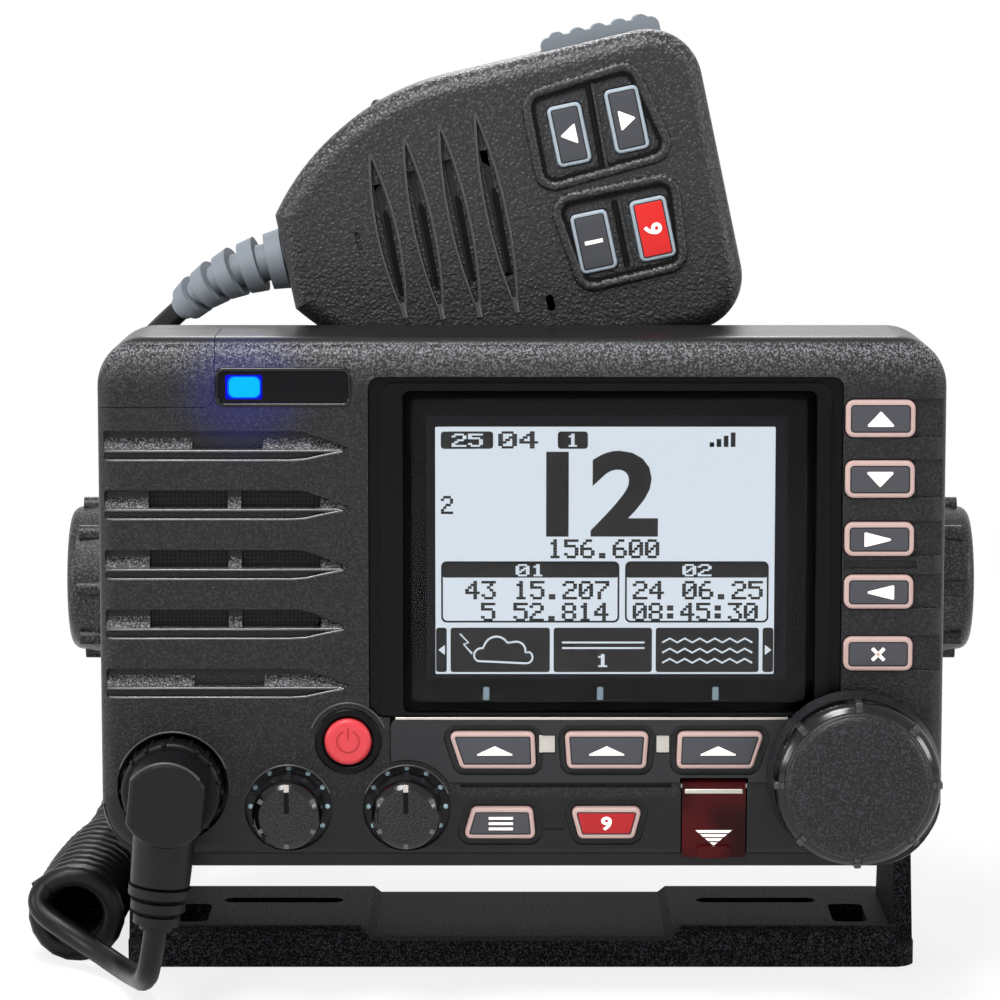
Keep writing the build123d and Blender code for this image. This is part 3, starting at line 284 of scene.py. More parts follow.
def mesh_of(curve):
    """The mesh that a curve or a text makes; the curve itself is removed."""
    holder = bpy.data.objects.new(curve.name, curve)
    bpy.context.collection.objects.link(holder)
    bpy.context.view_layer.update()
    graph = bpy.context.evaluated_depsgraph_get()
    mesh = bpy.data.meshes.new_from_object(holder.evaluated_get(graph))
    bpy.data.objects.remove(holder)
    bpy.data.curves.remove(curve)
    return mesh


def digits(bm, text, x, z, height, y, thick=PRINT, bold=0.0, widen=1.0, turn=0.0, slot=0):
    """Plain digits centred at (x, z), with their back at depth y, turned by degrees."""
    curve = bpy.data.curves.new("digits", "FONT")
    curve.body = text
    curve.offset = bold
    curve.resolution_u = 4
    mesh = mesh_of(curve)
    low = Vector([min(v.co[i] for v in mesh.vertices) for i in range(3)])
    high = Vector([max(v.co[i] for v in mesh.vertices) for i in range(3)])
    scale = height / (high.y - low.y)
    flat = bmesh.new()
    flat.from_mesh(mesh)
    grown = bmesh.ops.extrude_face_region(flat, geom=flat.faces[:])
    for item in grown["geom"]:
        if isinstance(item, bmesh.types.BMVert):
            item.co.z += thick / scale
    way = Matrix.Rotation(math.radians(turn), 2)
    for vertex in flat.verts:
        away = (vertex.co - (low + high) / 2) * scale
        place = way @ Vector((away.x * widen, away.y))
        vertex.co = Vector((x + place.x, y - vertex.co.z * scale, z + place.y))
    for face in flat.faces:
        face.material_index = slot
    flat.to_mesh(mesh)
    flat.free()
    bm.from_mesh(mesh)
    bpy.data.meshes.remove(mesh)


# rows of a 5 by 7 dot matrix, one bit per dot, from the top
DOT_ROWS = {"0": (14, 17, 19, 21, 25, 17, 14), "1": (4, 12, 4, 4, 4, 4, 14),
            "2": (14, 17, 1, 6, 8, 16, 31), "3": (31, 2, 4, 2, 1, 17, 14),
            "4": (2, 6, 10, 18, 31, 2, 2), "5": (31, 16, 30, 1, 1, 17, 14),
            "6": (6, 8, 16, 30, 17, 17, 14), "7": (31, 1, 2, 4, 8, 8, 8),
            "8": (14, 17, 17, 14, 17, 17, 14), "9": (14, 17, 17, 15, 1, 2, 12),
            ".": (0, 0, 0, 0, 0, 12, 12), ":": (0, 12, 12, 0, 12, 12, 0),
            " ": (0, 0, 0, 0, 0, 0, 0)}
DOT_COLUMNS = 5
DOT_STEP = DOT_COLUMNS + 1       # columns from digit to digit
DOT_SPREAD = 0.2                 # a run of dots is this share of a dot longer at each end
DOT_HEIGHT = 0.96                # share of its row that a dot fills


def dot_digits(bm, text, x, z, height, width, y):
    """Digits made of the dots of a display, centred at (x, z), each row of dots as one bar."""
    dot_z = height / 7
    dot_x = width / (DOT_STEP * len(text) - 1)
    for place, sign in enumerate(text):
        for row, bits in enumerate(DOT_ROWS[sign]):
            start = None
            for column in range(DOT_STEP):
                on = column < DOT_COLUMNS and bits >> (4 - column) & 1
                if on and start is None:
                    start = column
                elif not on and start is not None:
                    left = x - width / 2 + (place * DOT_STEP + start - DOT_SPREAD) * dot_x
                    right = x - width / 2 + (place * DOT_STEP + column + DOT_SPREAD) * dot_x
                    low = z + height / 2 - (row + 1) * dot_z
                    high = low + dot_z * DOT_HEIGHT
                    printed(bm, [(left, low), (right, low), (right, high), (left, high)], y)
                    start = None


def piece(name, bm, body, finishes, slot, place=None, unit=MM):
    """Makes a mesh piece that rides on a body; its slot argument is not used."""
    bmesh.ops.remove_doubles(bm, verts=bm.verts, dist=1e-4 * MM / unit)
    bmesh.ops.recalc_face_normals(bm, faces=bm.faces)
    bm.transform((place or Matrix.Identity(4)) @ Matrix.Scale(unit, 4))
    for face in bm.faces:
        face.smooth = True
    for edge in bm.edges:
        if len(edge.link_faces) == 2 and edge.calc_face_angle() > SMOOTH_BELOW:
            edge.smooth = False
    mesh = bpy.data.meshes.new(name)
    bm.to_mesh(mesh)
    bm.free()
    for key in finishes.split():
        mesh.materials.append(finish[key])
    made = bpy.data.objects.new(name, mesh)
    bpy.context.collection.objects.link(made)
    if body:
        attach(made, body)
    return made


class Making:
    """An empty mesh to fill in a with block, which becomes a piece when the block ends."""
    def __init__(self, name, body, finishes, slot, place=None):
        self.bm = bmesh.new()
        self.name = name
        self.details = (body, finishes, slot, place)

    def __enter__(self):
        return self.bm

    def __exit__(self, failure, *rest):
        if failure is None:
            piece(self.name, self.bm, *self.details)


def extent(node):
    """(x0, x1, y0, y1, z0, z1) of a CAD node, in millimetres; y0 is its front."""
    low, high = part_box(node)
    return [v / MM for pair in zip(low, high) for v in pair]


def front_of(node):
    return extent(node)[2]


def round_part(node):
    """(x, z, radius, front) of a round CAD node seen from the front."""
    x0, x1, front, _, z0, z1 = extent(node)
    return (x0 + x1) / 2, (z0 + z1) / 2, (x1 - x0) / 2, front


# ---- shader nodes -------------------------------------------------------------------------------
# how strongly plastics reflect: carbon-filled matt mouldings, then smooth ones, then anti-glare coats
MATT = 0.25
SATIN = 0.3
ANTI_GLARE = 0.06
PAINTED_HIGHLIGHT_TONE = linear("#8a8a8e")         # painted highlight on the grain near the top of the panel and on edges that turn upwards
WHITE = (1.0, 1.0, 1.0, 1.0)
COLOUR_A, COLOUR_B, COLOUR_OUT = 6, 7, 2         # colour sockets of a Mix node
VECTOR_A, VECTOR_B, VECTOR_OUT = 4, 5, 1         # vector sockets of a Mix node


def add(tree, kind, settings=None, inputs=None):
    """One shader node with its settings and its sockets, each a value or another node's output."""
    made = tree.nodes.new("ShaderNode" + kind)
    for name, value in (settings or {}).items():
        setattr(made, name, value)
    for name, value in (inputs or {}).items():
        socket = made.inputs[name]
        if isinstance(value, bpy.types.NodeSocket):
            tree.links.new(value, socket)
        else:
            socket.default_value = value
    return made


def compute(tree, operation, first, second):
    return add(tree, "Math", {"operation": operation}, {0: first, 1: second}).outputs[0]


def multiply(tree, first, second):
    return compute(tree, "MULTIPLY", first, second)


def remap(tree, value, low=0.0, high=1.0, to_low=0.0, to_high=1.0, smooth=False):
    """An output stretched from one range to another and held inside it."""
    settings = {"interpolation_type": "SMOOTHSTEP"} if smooth else None
    return add(tree, "MapRange", settings, {"Value": value, "From Min": low, "From Max": high,
                                            "To Min": to_low, "To Max": to_high}).outputs[0]


def noise(tree, place, size, **inputs):
    """Soft noise whose clouds are about this size."""
    return add(tree, "TexNoise", inputs={"Vector": place.outputs["Object"], "Scale": 1 / size, **inputs})


def rgba(value, shade=1.0):
    return (*(channel * shade for channel in value), 1.0)


def two_tones(tree, shader, share, first, second):
    """Base colour that goes from the first tone to the second by a share."""
    mix = add(tree, "Mix", {"data_type": "RGBA"}, {"Factor": share, COLOUR_A: first, COLOUR_B: second})
    tree.links.new(mix.outputs[COLOUR_OUT], shader.inputs["Base Color"])


def paint_over(tree, shader, share, tone):
    """Mixes a tone over the base colour by a share."""
    before = shader.inputs["Base Color"].links[0].from_socket
    two_tones(tree, shader, share, before, rgba(tone))


def raise_surface(tree, shader, height, strength=1.0, distance=1.0, invert=False):
    relief = add(tree, "Bump", {"invert": invert},
                 {"Strength": strength, "Distance": distance, "Height": height})
    tree.links.new(relief.outputs["Normal"], shader.inputs["Normal"])


def facing_up(tree, place):
    """How far a rounded edge of the object turns upwards, where a highlight is painted on it."""
    turned = add(tree, "SeparateXYZ", inputs={"Vector": place.outputs["Normal"]})
    return remap(tree, turned.outputs["Z"], 0.05, 0.6, smooth=True)


def blank(name, **sockets):
    """A material whose principled shader has these constant sockets: (material, tree, shader)."""
    material = bpy.data.materials.new(name)
    material.use_nodes = True
    shader = material.node_tree.nodes["Principled BSDF"]
    for socket, value in sockets.items():
        shader.inputs[socket.replace("_", " ")].default_value = value
    return material, material.node_tree, shader


def mottled(tree, shader, tone, spread, size):
    """Colour that varies softly round a tone, as pigment and handling leave it."""
    place = add(tree, "TexCoord")
    cloud = noise(tree, place, size, Detail=3.0).outputs["Fac"]
    two_tones(tree, shader, cloud, rgba(tone, 1 - spread), rgba(tone, 1 + spread))
    return place, cloud


# ---- materials ----------------------------------------------------------------------------------
def grained_plastic(name, tone, roughness, grain, depth, glint_tone, ior=1.5, polished=None, lamp=None):
    """Plastic from a spark-eroded tool: small round bumps, their tops painted paler as glints, duller where
    deep.
    """
    material, tree, shader = blank(name, IOR=ior, Specular_IOR_Level=MATT)
    place, _ = mottled(tree, shader, tone, 0.12, 6 * MM)
    bumps = noise(tree, place, grain, Detail=2.0, Roughness=0.55).outputs["Fac"]
    share = remap(tree, bumps, 0.46, 0.7)
    height = multiply(tree, bumps, depth)
    if polished:
        # the grain stops at polished strips along the bottom and the top, and the top is crowned
        bottom, top = polished
        z = add(tree, "SeparateXYZ", inputs={"Vector": place.outputs["Object"]}).outputs["Z"]
        low = remap(tree, z, bottom - 0.4 * MM, bottom + 0.4 * MM)
        high = remap(tree, z, top - 0.8 * MM, top + 0.8 * MM, 1.0, 0.0)
        grained = multiply(tree, low, high)
        share = multiply(tree, share, grained)
        rise = remap(tree, z, top - 10 * MM, top)
        near_top = multiply(tree, rise, rise)
        height = compute(tree, "ADD", multiply(tree, height, grained),
                         multiply(tree, near_top, -2.4 * MM))
    # painted glints: the tops of the grain's bumps are painted paler
    paint_over(tree, shader, share, glint_tone)
    if polished:
        # painted highlight: the grain turns paler towards the top of the panel and on edges that turn
        # upwards, where the top light falls
        paint_over(tree, shader, multiply(tree, near_top, share), PAINTED_HIGHLIGHT_TONE)
        highlight_share = multiply(tree, facing_up(tree, place), multiply(tree, share, 0.8))
        paint_over(tree, shader, highlight_share, PAINTED_HIGHLIGHT_TONE)
    if lamp:
        # painted light: the plastic round the window glows blue by its own emission, as the lamp's spill on
        # it
        away = add(tree, "VectorMath", {"operation": "DISTANCE"}, {0: place.outputs["Object"], 1: lamp})
        glow = remap(tree, away.outputs["Value"], 4 * MM, 17 * MM, 0.45, 0.0, smooth=True)
        shader.inputs["Emission Color"].default_value = rgba(linear("#0c0c78"))
        tree.links.new(glow, shader.inputs["Emission Strength"])
    raise_surface(tree, shader, height)
    tree.links.new(remap(tree, bumps, to_low=roughness + 0.1, to_high=roughness - 0.1),
                   shader.inputs["Roughness"])
    return material


def smooth_plastic(name, tone, roughness, spread=0.06, **sockets):
    """Plastic or rubber from a polished tool, with the faint unevenness that handling leaves."""
    material, tree, shader = blank(name, **{"Specular_IOR_Level": SATIN, **sockets})
    place, cloud = mottled(tree, shader, tone, spread, 8 * MM)
    tree.links.new(remap(tree, cloud, to_low=roughness * 0.85, to_high=roughness * 1.15),
                   shader.inputs["Roughness"])
    ripple = noise(tree, place, 0.3 * MM, Detail=1.0)
    raise_surface(tree, shader, ripple.outputs["Fac"], 0.6, 0.004 * MM)
    return material


def leather_plastic(name, tone, roughness, cell):
    """Moulded plastic with a leather grain: flat cells with soft valleys between them, the cells painted
    paler as their sheen.
    """
    material, tree, shader = blank(name, IOR=1.5, Specular_IOR_Level=0.4)
    place, _ = mottled(tree, shader, tone, 0.12, 7 * MM)
    warped = noise(tree, place, 2 * cell, Detail=1.0)
    shifted = add(tree, "Mix", {"data_type": "VECTOR"},
                  {"Factor": 0.0012, VECTOR_A: place.outputs["Object"], VECTOR_B: warped.outputs["Color"]})
    cells = add(tree, "TexVoronoi", {"feature": "SMOOTH_F1"},
                {"Vector": shifted.outputs[VECTOR_OUT], "Scale": 1 / cell, "Smoothness": 0.6})
    valley = cells.outputs["Distance"]
    # painted sheen: the cells are painted paler away from the valleys, and paler still where the shell turns
    # upwards, a painted highlight
    pale = remap(tree, valley, 0.05, 0.5, 0.55, 0.0)
    paint_over(tree, shader, pale, rgba(tone, 7.0)[:3])
    paint_over(tree, shader, multiply(tree, facing_up(tree, place), multiply(tree, pale, 1.2)), PAINTED_HIGHLIGHT_TONE)
    raise_surface(tree, shader, valley, distance=0.22 * MM, invert=True)
    tree.links.new(remap(tree, valley, to_low=roughness - 0.06, to_high=roughness + 0.12),
                   shader.inputs["Roughness"])
    return material


def lit(name, tone, strength):
    """A surface that shines by itself, such as a back-lit display."""
    return blank(name, Base_Color=(0.0, 0.0, 0.0, 1.0), Roughness=0.35, Specular_IOR_Level=0.05,
                 Emission_Color=rgba(tone), Emission_Strength=strength)[0]


def brushed_metal(name, tone, roughness):
    """Metal with a faint drawn grain."""
    material, tree, shader = blank(name, Metallic=1.0)
    place, _ = mottled(tree, shader, tone, 0.05, 5 * MM)
    stretch = add(tree, "Mapping", inputs={"Vector": place.outputs["Object"], "Scale": (1.0, 12.0, 12.0)})
    lines = add(tree, "TexNoise", inputs={"Vector": stretch.outputs["Vector"], "Scale": 1 / (1.5 * MM)})
    tree.links.new(remap(tree, lines.outputs["Fac"], to_low=roughness - 0.06, to_high=roughness + 0.08),
                   shader.inputs["Roughness"])
    return material


def perforated_metal(name, tone, pitch):
    """Painted speaker mesh: a regular grid of round holes, drawn as dark spots of painted shade."""
    material, tree, shader = blank(name, Metallic=0.6, Roughness=0.5)
    place = add(tree, "TexCoord")
    holes = add(tree, "TexVoronoi", {"feature": "F1"},
                {"Vector": place.outputs["Object"], "Scale": 1 / pitch, "Randomness": 0.0})
    # painted shade: the holes are not cut but painted near black, as the shaded hollow behind them
    solid = remap(tree, holes.outputs["Distance"], 0.26, 0.34)
    two_tones(tree, shader, solid, rgba(tone, 0.1), rgba(tone))
    raise_surface(tree, shader, solid, distance=0.2 * MM)
    return material


def red_acrylic(name, tone):
    """Clear red acrylic over a dark pocket: nearly black, with a little red where light returns."""
    material, tree, shader = blank(name, Roughness=0.12, IOR=1.49, Specular_IOR_Level=0.1)
    cloud = noise(tree, add(tree, "TexCoord"), 11 * MM, Detail=0.0)
    share = remap(tree, cloud.outputs["Fac"], 0.4, 0.75, smooth=True)
    two_tones(tree, shader, share, rgba(tone, 0.25), rgba(tone))
    return material


# Tones are sRGB codes or names of RadioColours.
# finish: (material, tone, roughness, other constant sockets)
SMOOTH_FINISHES = {
    # ABS: dark grey with soft reflections, polished black and gloss black
    "satin": ("satin_ABS", "satin", 0.42, {}),
    "frame": ("polished_black_ABS", "frame", 0.3, {"Specular_IOR_Level": 0.1}),
    "gloss": ("gloss_black_ABS", "#040405", 0.16, {"Specular_IOR_Level": 0.35}),
    # rubbed edges, smooth so that they catch the light, in a paler tone that paints their highlight
    "edge": ("rubbed_ABS_edge", "#3a3a3d", 0.25, {"Specular_IOR_Level": 0.8}),
    "lip": ("worn_ABS_lip", "#242426", 0.4, {"Specular_IOR_Level": 0.6}),
    # polyurethane jacket: satin with a slightly greasy sheen
    "cord": ("polyurethane_jacket", "cord", 0.38, {"Specular_IOR_Level": 0.2}),
    "plug": ("soft_PVC", "plug", 0.42, {"Specular_IOR_Level": 0.2}),
    "relief": ("grey_thermoplastic_rubber", "relief", 0.55, {}),
    # silicone: translucent, so light softens inside it
    "key_rim": ("translucent_silicone", "key_rim", 0.5, {"Subsurface_Weight": 0.1, "Subsurface_Scale": MM}),
    "mic_rim": ("bluish_silicone", "mic_rim", 0.45, {"Subsurface_Weight": 0.3, "Subsurface_Scale": MM}),
    "red_power": ("red_silicone", "red_power", 0.36, {"Subsurface_Weight": 0.15, "Subsurface_Scale": MM}),
    "red_mark": ("red_silicone_relief", "#a92a31", 0.45, {}),
    "rubber": ("black_silicone_rubber", "#060606", 0.6, {"Specular_IOR_Level": 0.1}),
    # polyurethane paint over silicone: a soft sheen
    "key_face": ("painted_silicone", "key_face", 0.42, {}),
    "key_line": ("dark_key_outline", "#17181c", 0.45, {}),
    "red_key": ("red_painted_silicone", "red_key", 0.4, {}),
    "red_mic": ("red_back_lit_silicone", "red_mic", 0.4, {}),
    # acrylic with an anti-glare coat, hence the low index: a clear pane, black print behind it
    "pane": ("clear_acrylic", "#ffffff", 0.02, {"spread": 0.0, "IOR": 1.12, "Transmission_Weight": 1.0}),
    "print": ("black_screen_print", "lens", 0.2, {"Specular_IOR_Level": ANTI_GLARE}),
    "window": ("smoked_acrylic", "#050407", 0.1, {"Specular_IOR_Level": 0.2}),
    # inks: dull and thin
    "ink": ("liquid_crystal_ink", "ink", 0.4, {}),
    "dots": ("pale_blue_print", "dots", 0.5, {}),
    "tick": ("grey_blue_print", "#65767e", 0.5, {}),
    # hidden pieces: green lacquer on the boards, black coated paper of the speakers
    "board": ("solder_mask", "#0f5a2c", 0.3, {}),
    "cone": ("coated_paper", "#1b1b1b", 0.7, {}),
}
# finish: (material, tone, roughness, grain and its depth in millimetres, tone of the painted glints on the
# grain's tops, index)
GRAINED_FINISHES = {
    # powder coat: fine orange peel over die-cast aluminium
    "chassis": ("black_powder_coat", "chassis", 0.5, 0.5, 0.03, "#2c2d30", 1.5),
    # glass-filled nylon: a dull grey-black with fine grain
    "bracket": ("glass_filled_nylon", "bracket", 0.7, 0.45, 0.08, "#3c3c40", 1.15),
    "clamp": ("moulded_nylon_knob", "#141416", 0.36, 0.5, 0.1, "#4a4a4e", 1.5),
    # ABS with a fine grain on the knobs and a coarser one on the dial
    "knob": ("satin_knob_ABS", "knob", 0.36, 0.35, 0.05, "#36363a", 1.5),
    "dial": ("crowned_dial_ABS", "knob", 0.34, 0.5, 0.16, "#323236", 1.5),
}
# finish: (material, tone, strength) of what shines, then (material, tone, roughness) of metals
LIT_FINISHES = {
    "lcd": ("back_lit_liquid_crystal", "display", 0.95),
    "lcd_edge": ("unlit_liquid_crystal", "display_edge", 0.9),
    "lamp": ("indicator_lamp", "lamp", 1.0),
    "lamp_halo": ("indicator_lamp_halo", "#0060ff", 1.0),
    "lamp_edge": ("indicator_lamp_edge", "#0008d8", 1.0),
}
METAL_FINISHES = {
    "silver": ("silver_paint", "#b9b5ae", 0.35),
    "steel": ("stainless_steel", "#b4b4b6", 0.3),
    "nickel": ("nickel_plate", "#cdc8bc", 0.18),
}
POLISHED = (46.3 * MM, 143.4 * MM)      # heights at which the front panel's grain stops
LAMP_SPAN = (-62.7, -54.9)              # x of both ends of the lit part of the indicator window
finish = {}


def make_finishes(colours, sizes):
    """All materials of the radio by what the real surface is."""
    def tone_of(tone):
        return linear(tone) if tone.startswith("#") else getattr(colours, tone)

    for key, (name, tone, roughness, sockets) in SMOOTH_FINISHES.items():
        finish[key] = smooth_plastic(name, tone_of(tone), roughness, **sockets)
    for key, (name, tone, roughness, grain, depth, glint_tone, ior) in GRAINED_FINISHES.items():
        finish[key] = grained_plastic(name, tone_of(tone), roughness, grain * MM, depth * MM,
                                      linear(glint_tone), ior)
    for make, table in ((lit, LIT_FINISHES), (brushed_metal, METAL_FINISHES)):
        for key, (name, tone, level) in table.items():
            finish[key] = make(name, tone_of(tone), level)
    window = extent("indicator_lens")
    # ABS from a spark-eroded tool: a sparkling matt black with polished strips at top and bottom
    finish["housing"] = grained_plastic(
        "spark_eroded_ABS", colours.housing, 0.36, sizes.grain, 0.2 * MM, linear("#2a2a2d"),
        polished=POLISHED, lamp=(sum(LAMP_SPAN) / 2 * MM, window[2] * MM, sum(window[4:]) / 2 * MM))
    finish["microphone"] = leather_plastic("leather_grained_ABS", colours.microphone, 0.4,
                                           sizes.leather)
    finish["mark"] = smooth_plastic("back_lit_mark", colours.mark, 0.5,
                                    Emission_Color=rgba(colours.mark), Emission_Strength=0.12)
    finish["flap"] = red_acrylic("clear_red_acrylic", colours.red_flap)
    finish["mesh"] = perforated_metal("painted_speaker_mesh", linear("#131314"), sizes.mesh_pitch)


# the finish of each CAD node
DRESSED = {
    "housing": "front_bezel corner_cover",
    "satin": "soft_key_trim",
    "frame": "display_frame",
    "chassis": "rear_chassis",
    "bracket": "bracket",
    "clamp": "clamp_knob_left clamp_knob_right",
    "microphone": "mic_front_shell mic_rear_shell",
    "knob": "squelch_knob volume_knob selector_dial",
    "plug": "plug_body plug_ring plug_relief",
    "relief": "mic_strain_relief ptt_key",
    "key_rim": "up_key down_key right_key left_key clear_key soft_key_left soft_key_middle "
               "soft_key_right menu_key channel_key",
    "mic_rim": "mic_left_key mic_right_key mic_power_key mic_channel_key",
    "red_power": "power_button distress_button",
    "flap": "distress_cover",
    "window": "indicator_lens",
    "lcd_edge": "lcd_module",
    "rubber": "rim_gasket friction_pads keypad_mat power_gland",
    "board": "main_board control_board mic_board",
    "steel": "case_screws mic_screws cover_hinge_pin encoder_shaft knob_potentiometers "
             "dial_encoder mic_hanger_stud",
    "nickel": "antenna_socket mic_socket",
    "cone": "speaker_driver mic_speaker",
    "mesh": "speaker_mesh",
}

# ---- cords --------------------------------------------------------------------------------------
# The routes' control points are in metres, from the first end to the last.
PLUG_ROUTE = [(-0.1070, -0.0266, 0.0174), (-0.1086, -0.0274, 0.0156), (-0.1076, -0.0290, 0.0122),
              (-0.1015, -0.0315, 0.0086), (-0.0940, -0.0365, 0.0050), (-0.0872, -0.0455, 0.0030),
              (-0.0834, -0.0600, 0.0052), (-0.0806, -0.0730, 0.0076), (-0.0788, -0.0795, 0.0122),
              (-0.07753, -0.0796, 0.02055)]
COIL_ROUTE = [(-0.1006, -0.0260, 0.01075), (-0.1004, 0.0, 0.01075), (-0.0990, 0.0240, 0.01075),
              (-0.0950, 0.0457, 0.01075), (-0.0905, 0.0643, 0.0205), (-0.0880, 0.0746, 0.0400),
              (-0.0875, 0.0750, 0.0610), (-0.0875, 0.0750, 0.0820)]
MIC_ROUTE = [(-0.07651, -0.00536, 0.14632), (-0.08488, 0.00114, 0.13878), (-0.0886, 0.0120, 0.1335),
             (-0.0895, 0.0310, 0.1310), (-0.0895, 0.0500, 0.1265), (-0.0885, 0.0660, 0.1150),
             (-0.0875, 0.0750, 0.1000), (-0.0875, 0.0750, 0.0820)]
COIL_STEPS = 20        # points along one turn of the coil
COIL_OVERLAP = 0.8     # how far the first turn runs on, as a share of the wire's radius


def line_through(points):
    """Points along the NURBS spline of a route."""
    curve = bpy.data.curves.new("route", "CURVE")
    curve.dimensions = "3D"
    spline = curve.splines.new("NURBS")
    spline.points.add(len(points) - 1)
    for target, point in zip(spline.points, points):
        target.co = (*point, 1.0)
    spline.order_u = 3
    spline.use_endpoint_u = True
    spline.resolution_u = 16
    mesh = mesh_of(curve)
    line = [v.co.copy() for v in mesh.vertices]
    bpy.data.meshes.remove(mesh)
    return line


def measure(line):
    return sum((b - a).length for a, b in zip(line, line[1:]))


def helix_round(line, radius, pitch, first_point):
    """Points of a helix round a line, from first_point on, clockwise as seen from its start."""
    total = measure(line)
    turns = total / pitch
    count = int(turns * COIL_STEPS)
    side = None
    made = []
    walked, index = 0.0, 0
    for step in range(count + 1):
        target = total * step / count
        while index < len(line) - 2 and walked + (line[index + 1] - line[index]).length < target:
            walked += (line[index + 1] - line[index]).length
            index += 1
        direction = (line[index + 1] - line[index]).normalized()
        here = line[index] + direction * (target - walked)
        if side is None:
            away = first_point - here
            side = (away - direction * away.dot(direction)).normalized()
            start_radius = away.length
        side = (side - direction * side.dot(direction)).normalized()
        other = direction.cross(side)
        angle = math.tau * turns * step / count
        grown = min(1.0, step / COIL_STEPS)
        reach = start_radius + (radius - start_radius) * grown
        made.append(here + reach * (math.cos(angle) * side + math.sin(angle) * other))
    return made


# ---- operators ----------------------------------------------------------------------------------
CAMERA_DISTANCE = 0.85
CAMERA_PITCH = math.radians(7.25)
CAMERA_TARGET = Vector((-0.00466, -0.067, 0.1104))
LAMP_TARGET = Vector((0, 0, 0.1))
LAMPS = {      # place, size of the square in metres, power in watts
    "top_softbox": ((-0.2, -0.5, 1.05), 0.35, 11.0),
    "front_softbox": ((-0.45, -1.25, 0.95), 0.35, 7.0),
    "left_softbox": ((-1.0, -0.45, 0.35), 0.3, 4.0),
    "right_softbox": ((1.0, -0.45, 0.35), 0.3, 4.0),
    "back_softbox": ((0.0, 0.9, 0.8), 0.4, 5.0),
}
WORLD_LIGHT = 0.3      # strength of the surroundings on matt surfaces; seen directly they are white


class RadioOperator:
    bl_options = {"REGISTER", "UNDO"}


class RADIO_OT_camera(RadioOperator, bpy.types.Operator):
    """Places the camera in front of the radio, a little above it"""
    bl_idname = "radio.camera"
    bl_label = "Camera"

    def execute(self, context):
        camera = bpy.data.objects.new("camera", bpy.data.cameras.new("camera"))
        camera.data.lens = context.scene.radio_sizes.lens_length
        camera.data.sensor_width = 36.0
        camera.data.clip_start = 0.01
        away = Vector((0, -math.cos(CAMERA_PITCH), math.sin(CAMERA_PITCH)))
        camera.location = CAMERA_TARGET + CAMERA_DISTANCE * away
        camera.rotation_euler = (math.pi / 2 - CAMERA_PITCH, 0, 0)
        context.collection.objects.link(camera)
        context.scene.camera = camera
        return {"FINISHED"}


class RADIO_OT_finishes(RadioOperator, bpy.types.Operator):
    """Makes the materials and gives them to the bare solids"""
    bl_idname = "radio.finishes"
    bl_label = "Finishes"

    def execute(self, context):
        make_finishes(context.scene.radio_colours, context.scene.radio_sizes)
        for key, nodes in DRESSED.items():
            for name in nodes.split():
                for slot in frame["nodes"][name].material_slots:
                    slot.material = finish[key]
        return {"FINISHED"}


class RADIO_OT_cords(RadioOperator, bpy.types.Operator):
    """Makes the plug's lead, the curly cord and the microphone's lead"""
    bl_idname = "radio.cords"
    bl_label = "Cords"

    def execute(self, context):
        sizes = context.scene.radio_sizes
        wire = sizes.wire / 2
        plug_line = line_through(PLUG_ROUTE)
        coil_line = line_through(COIL_ROUTE)
        mic_line = line_through(MIC_ROUTE)
        turns = helix_round(coil_line, sizes.coil_radius, sizes.coil_pitch, Vector(PLUG_ROUTE[0]))
        # the coil's first turn runs on a little into the plug's lead, so that no wedge stays open
        overlap = turns[0] - (turns[1] - turns[0]).normalized() * wire * COIL_OVERLAP
        made = {}
        for name, line in (("plug_cord", plug_line), ("coiled_cord", [overlap] + turns),
                           ("microphone_cord", mic_line)):
            bm = bmesh.new()
            rod(bm, line, wire, sides=14)
            made[name] = piece(name, bm, None, "cord", "cord_black", unit=1.0)
        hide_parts("plug_lead")
        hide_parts("curly_cord")
        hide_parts("mic_lead")
        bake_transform(made["plug_cord"])
        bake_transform(made["coiled_cord"])
        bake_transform(made["microphone_cord"])
        return {"FINISHED"}


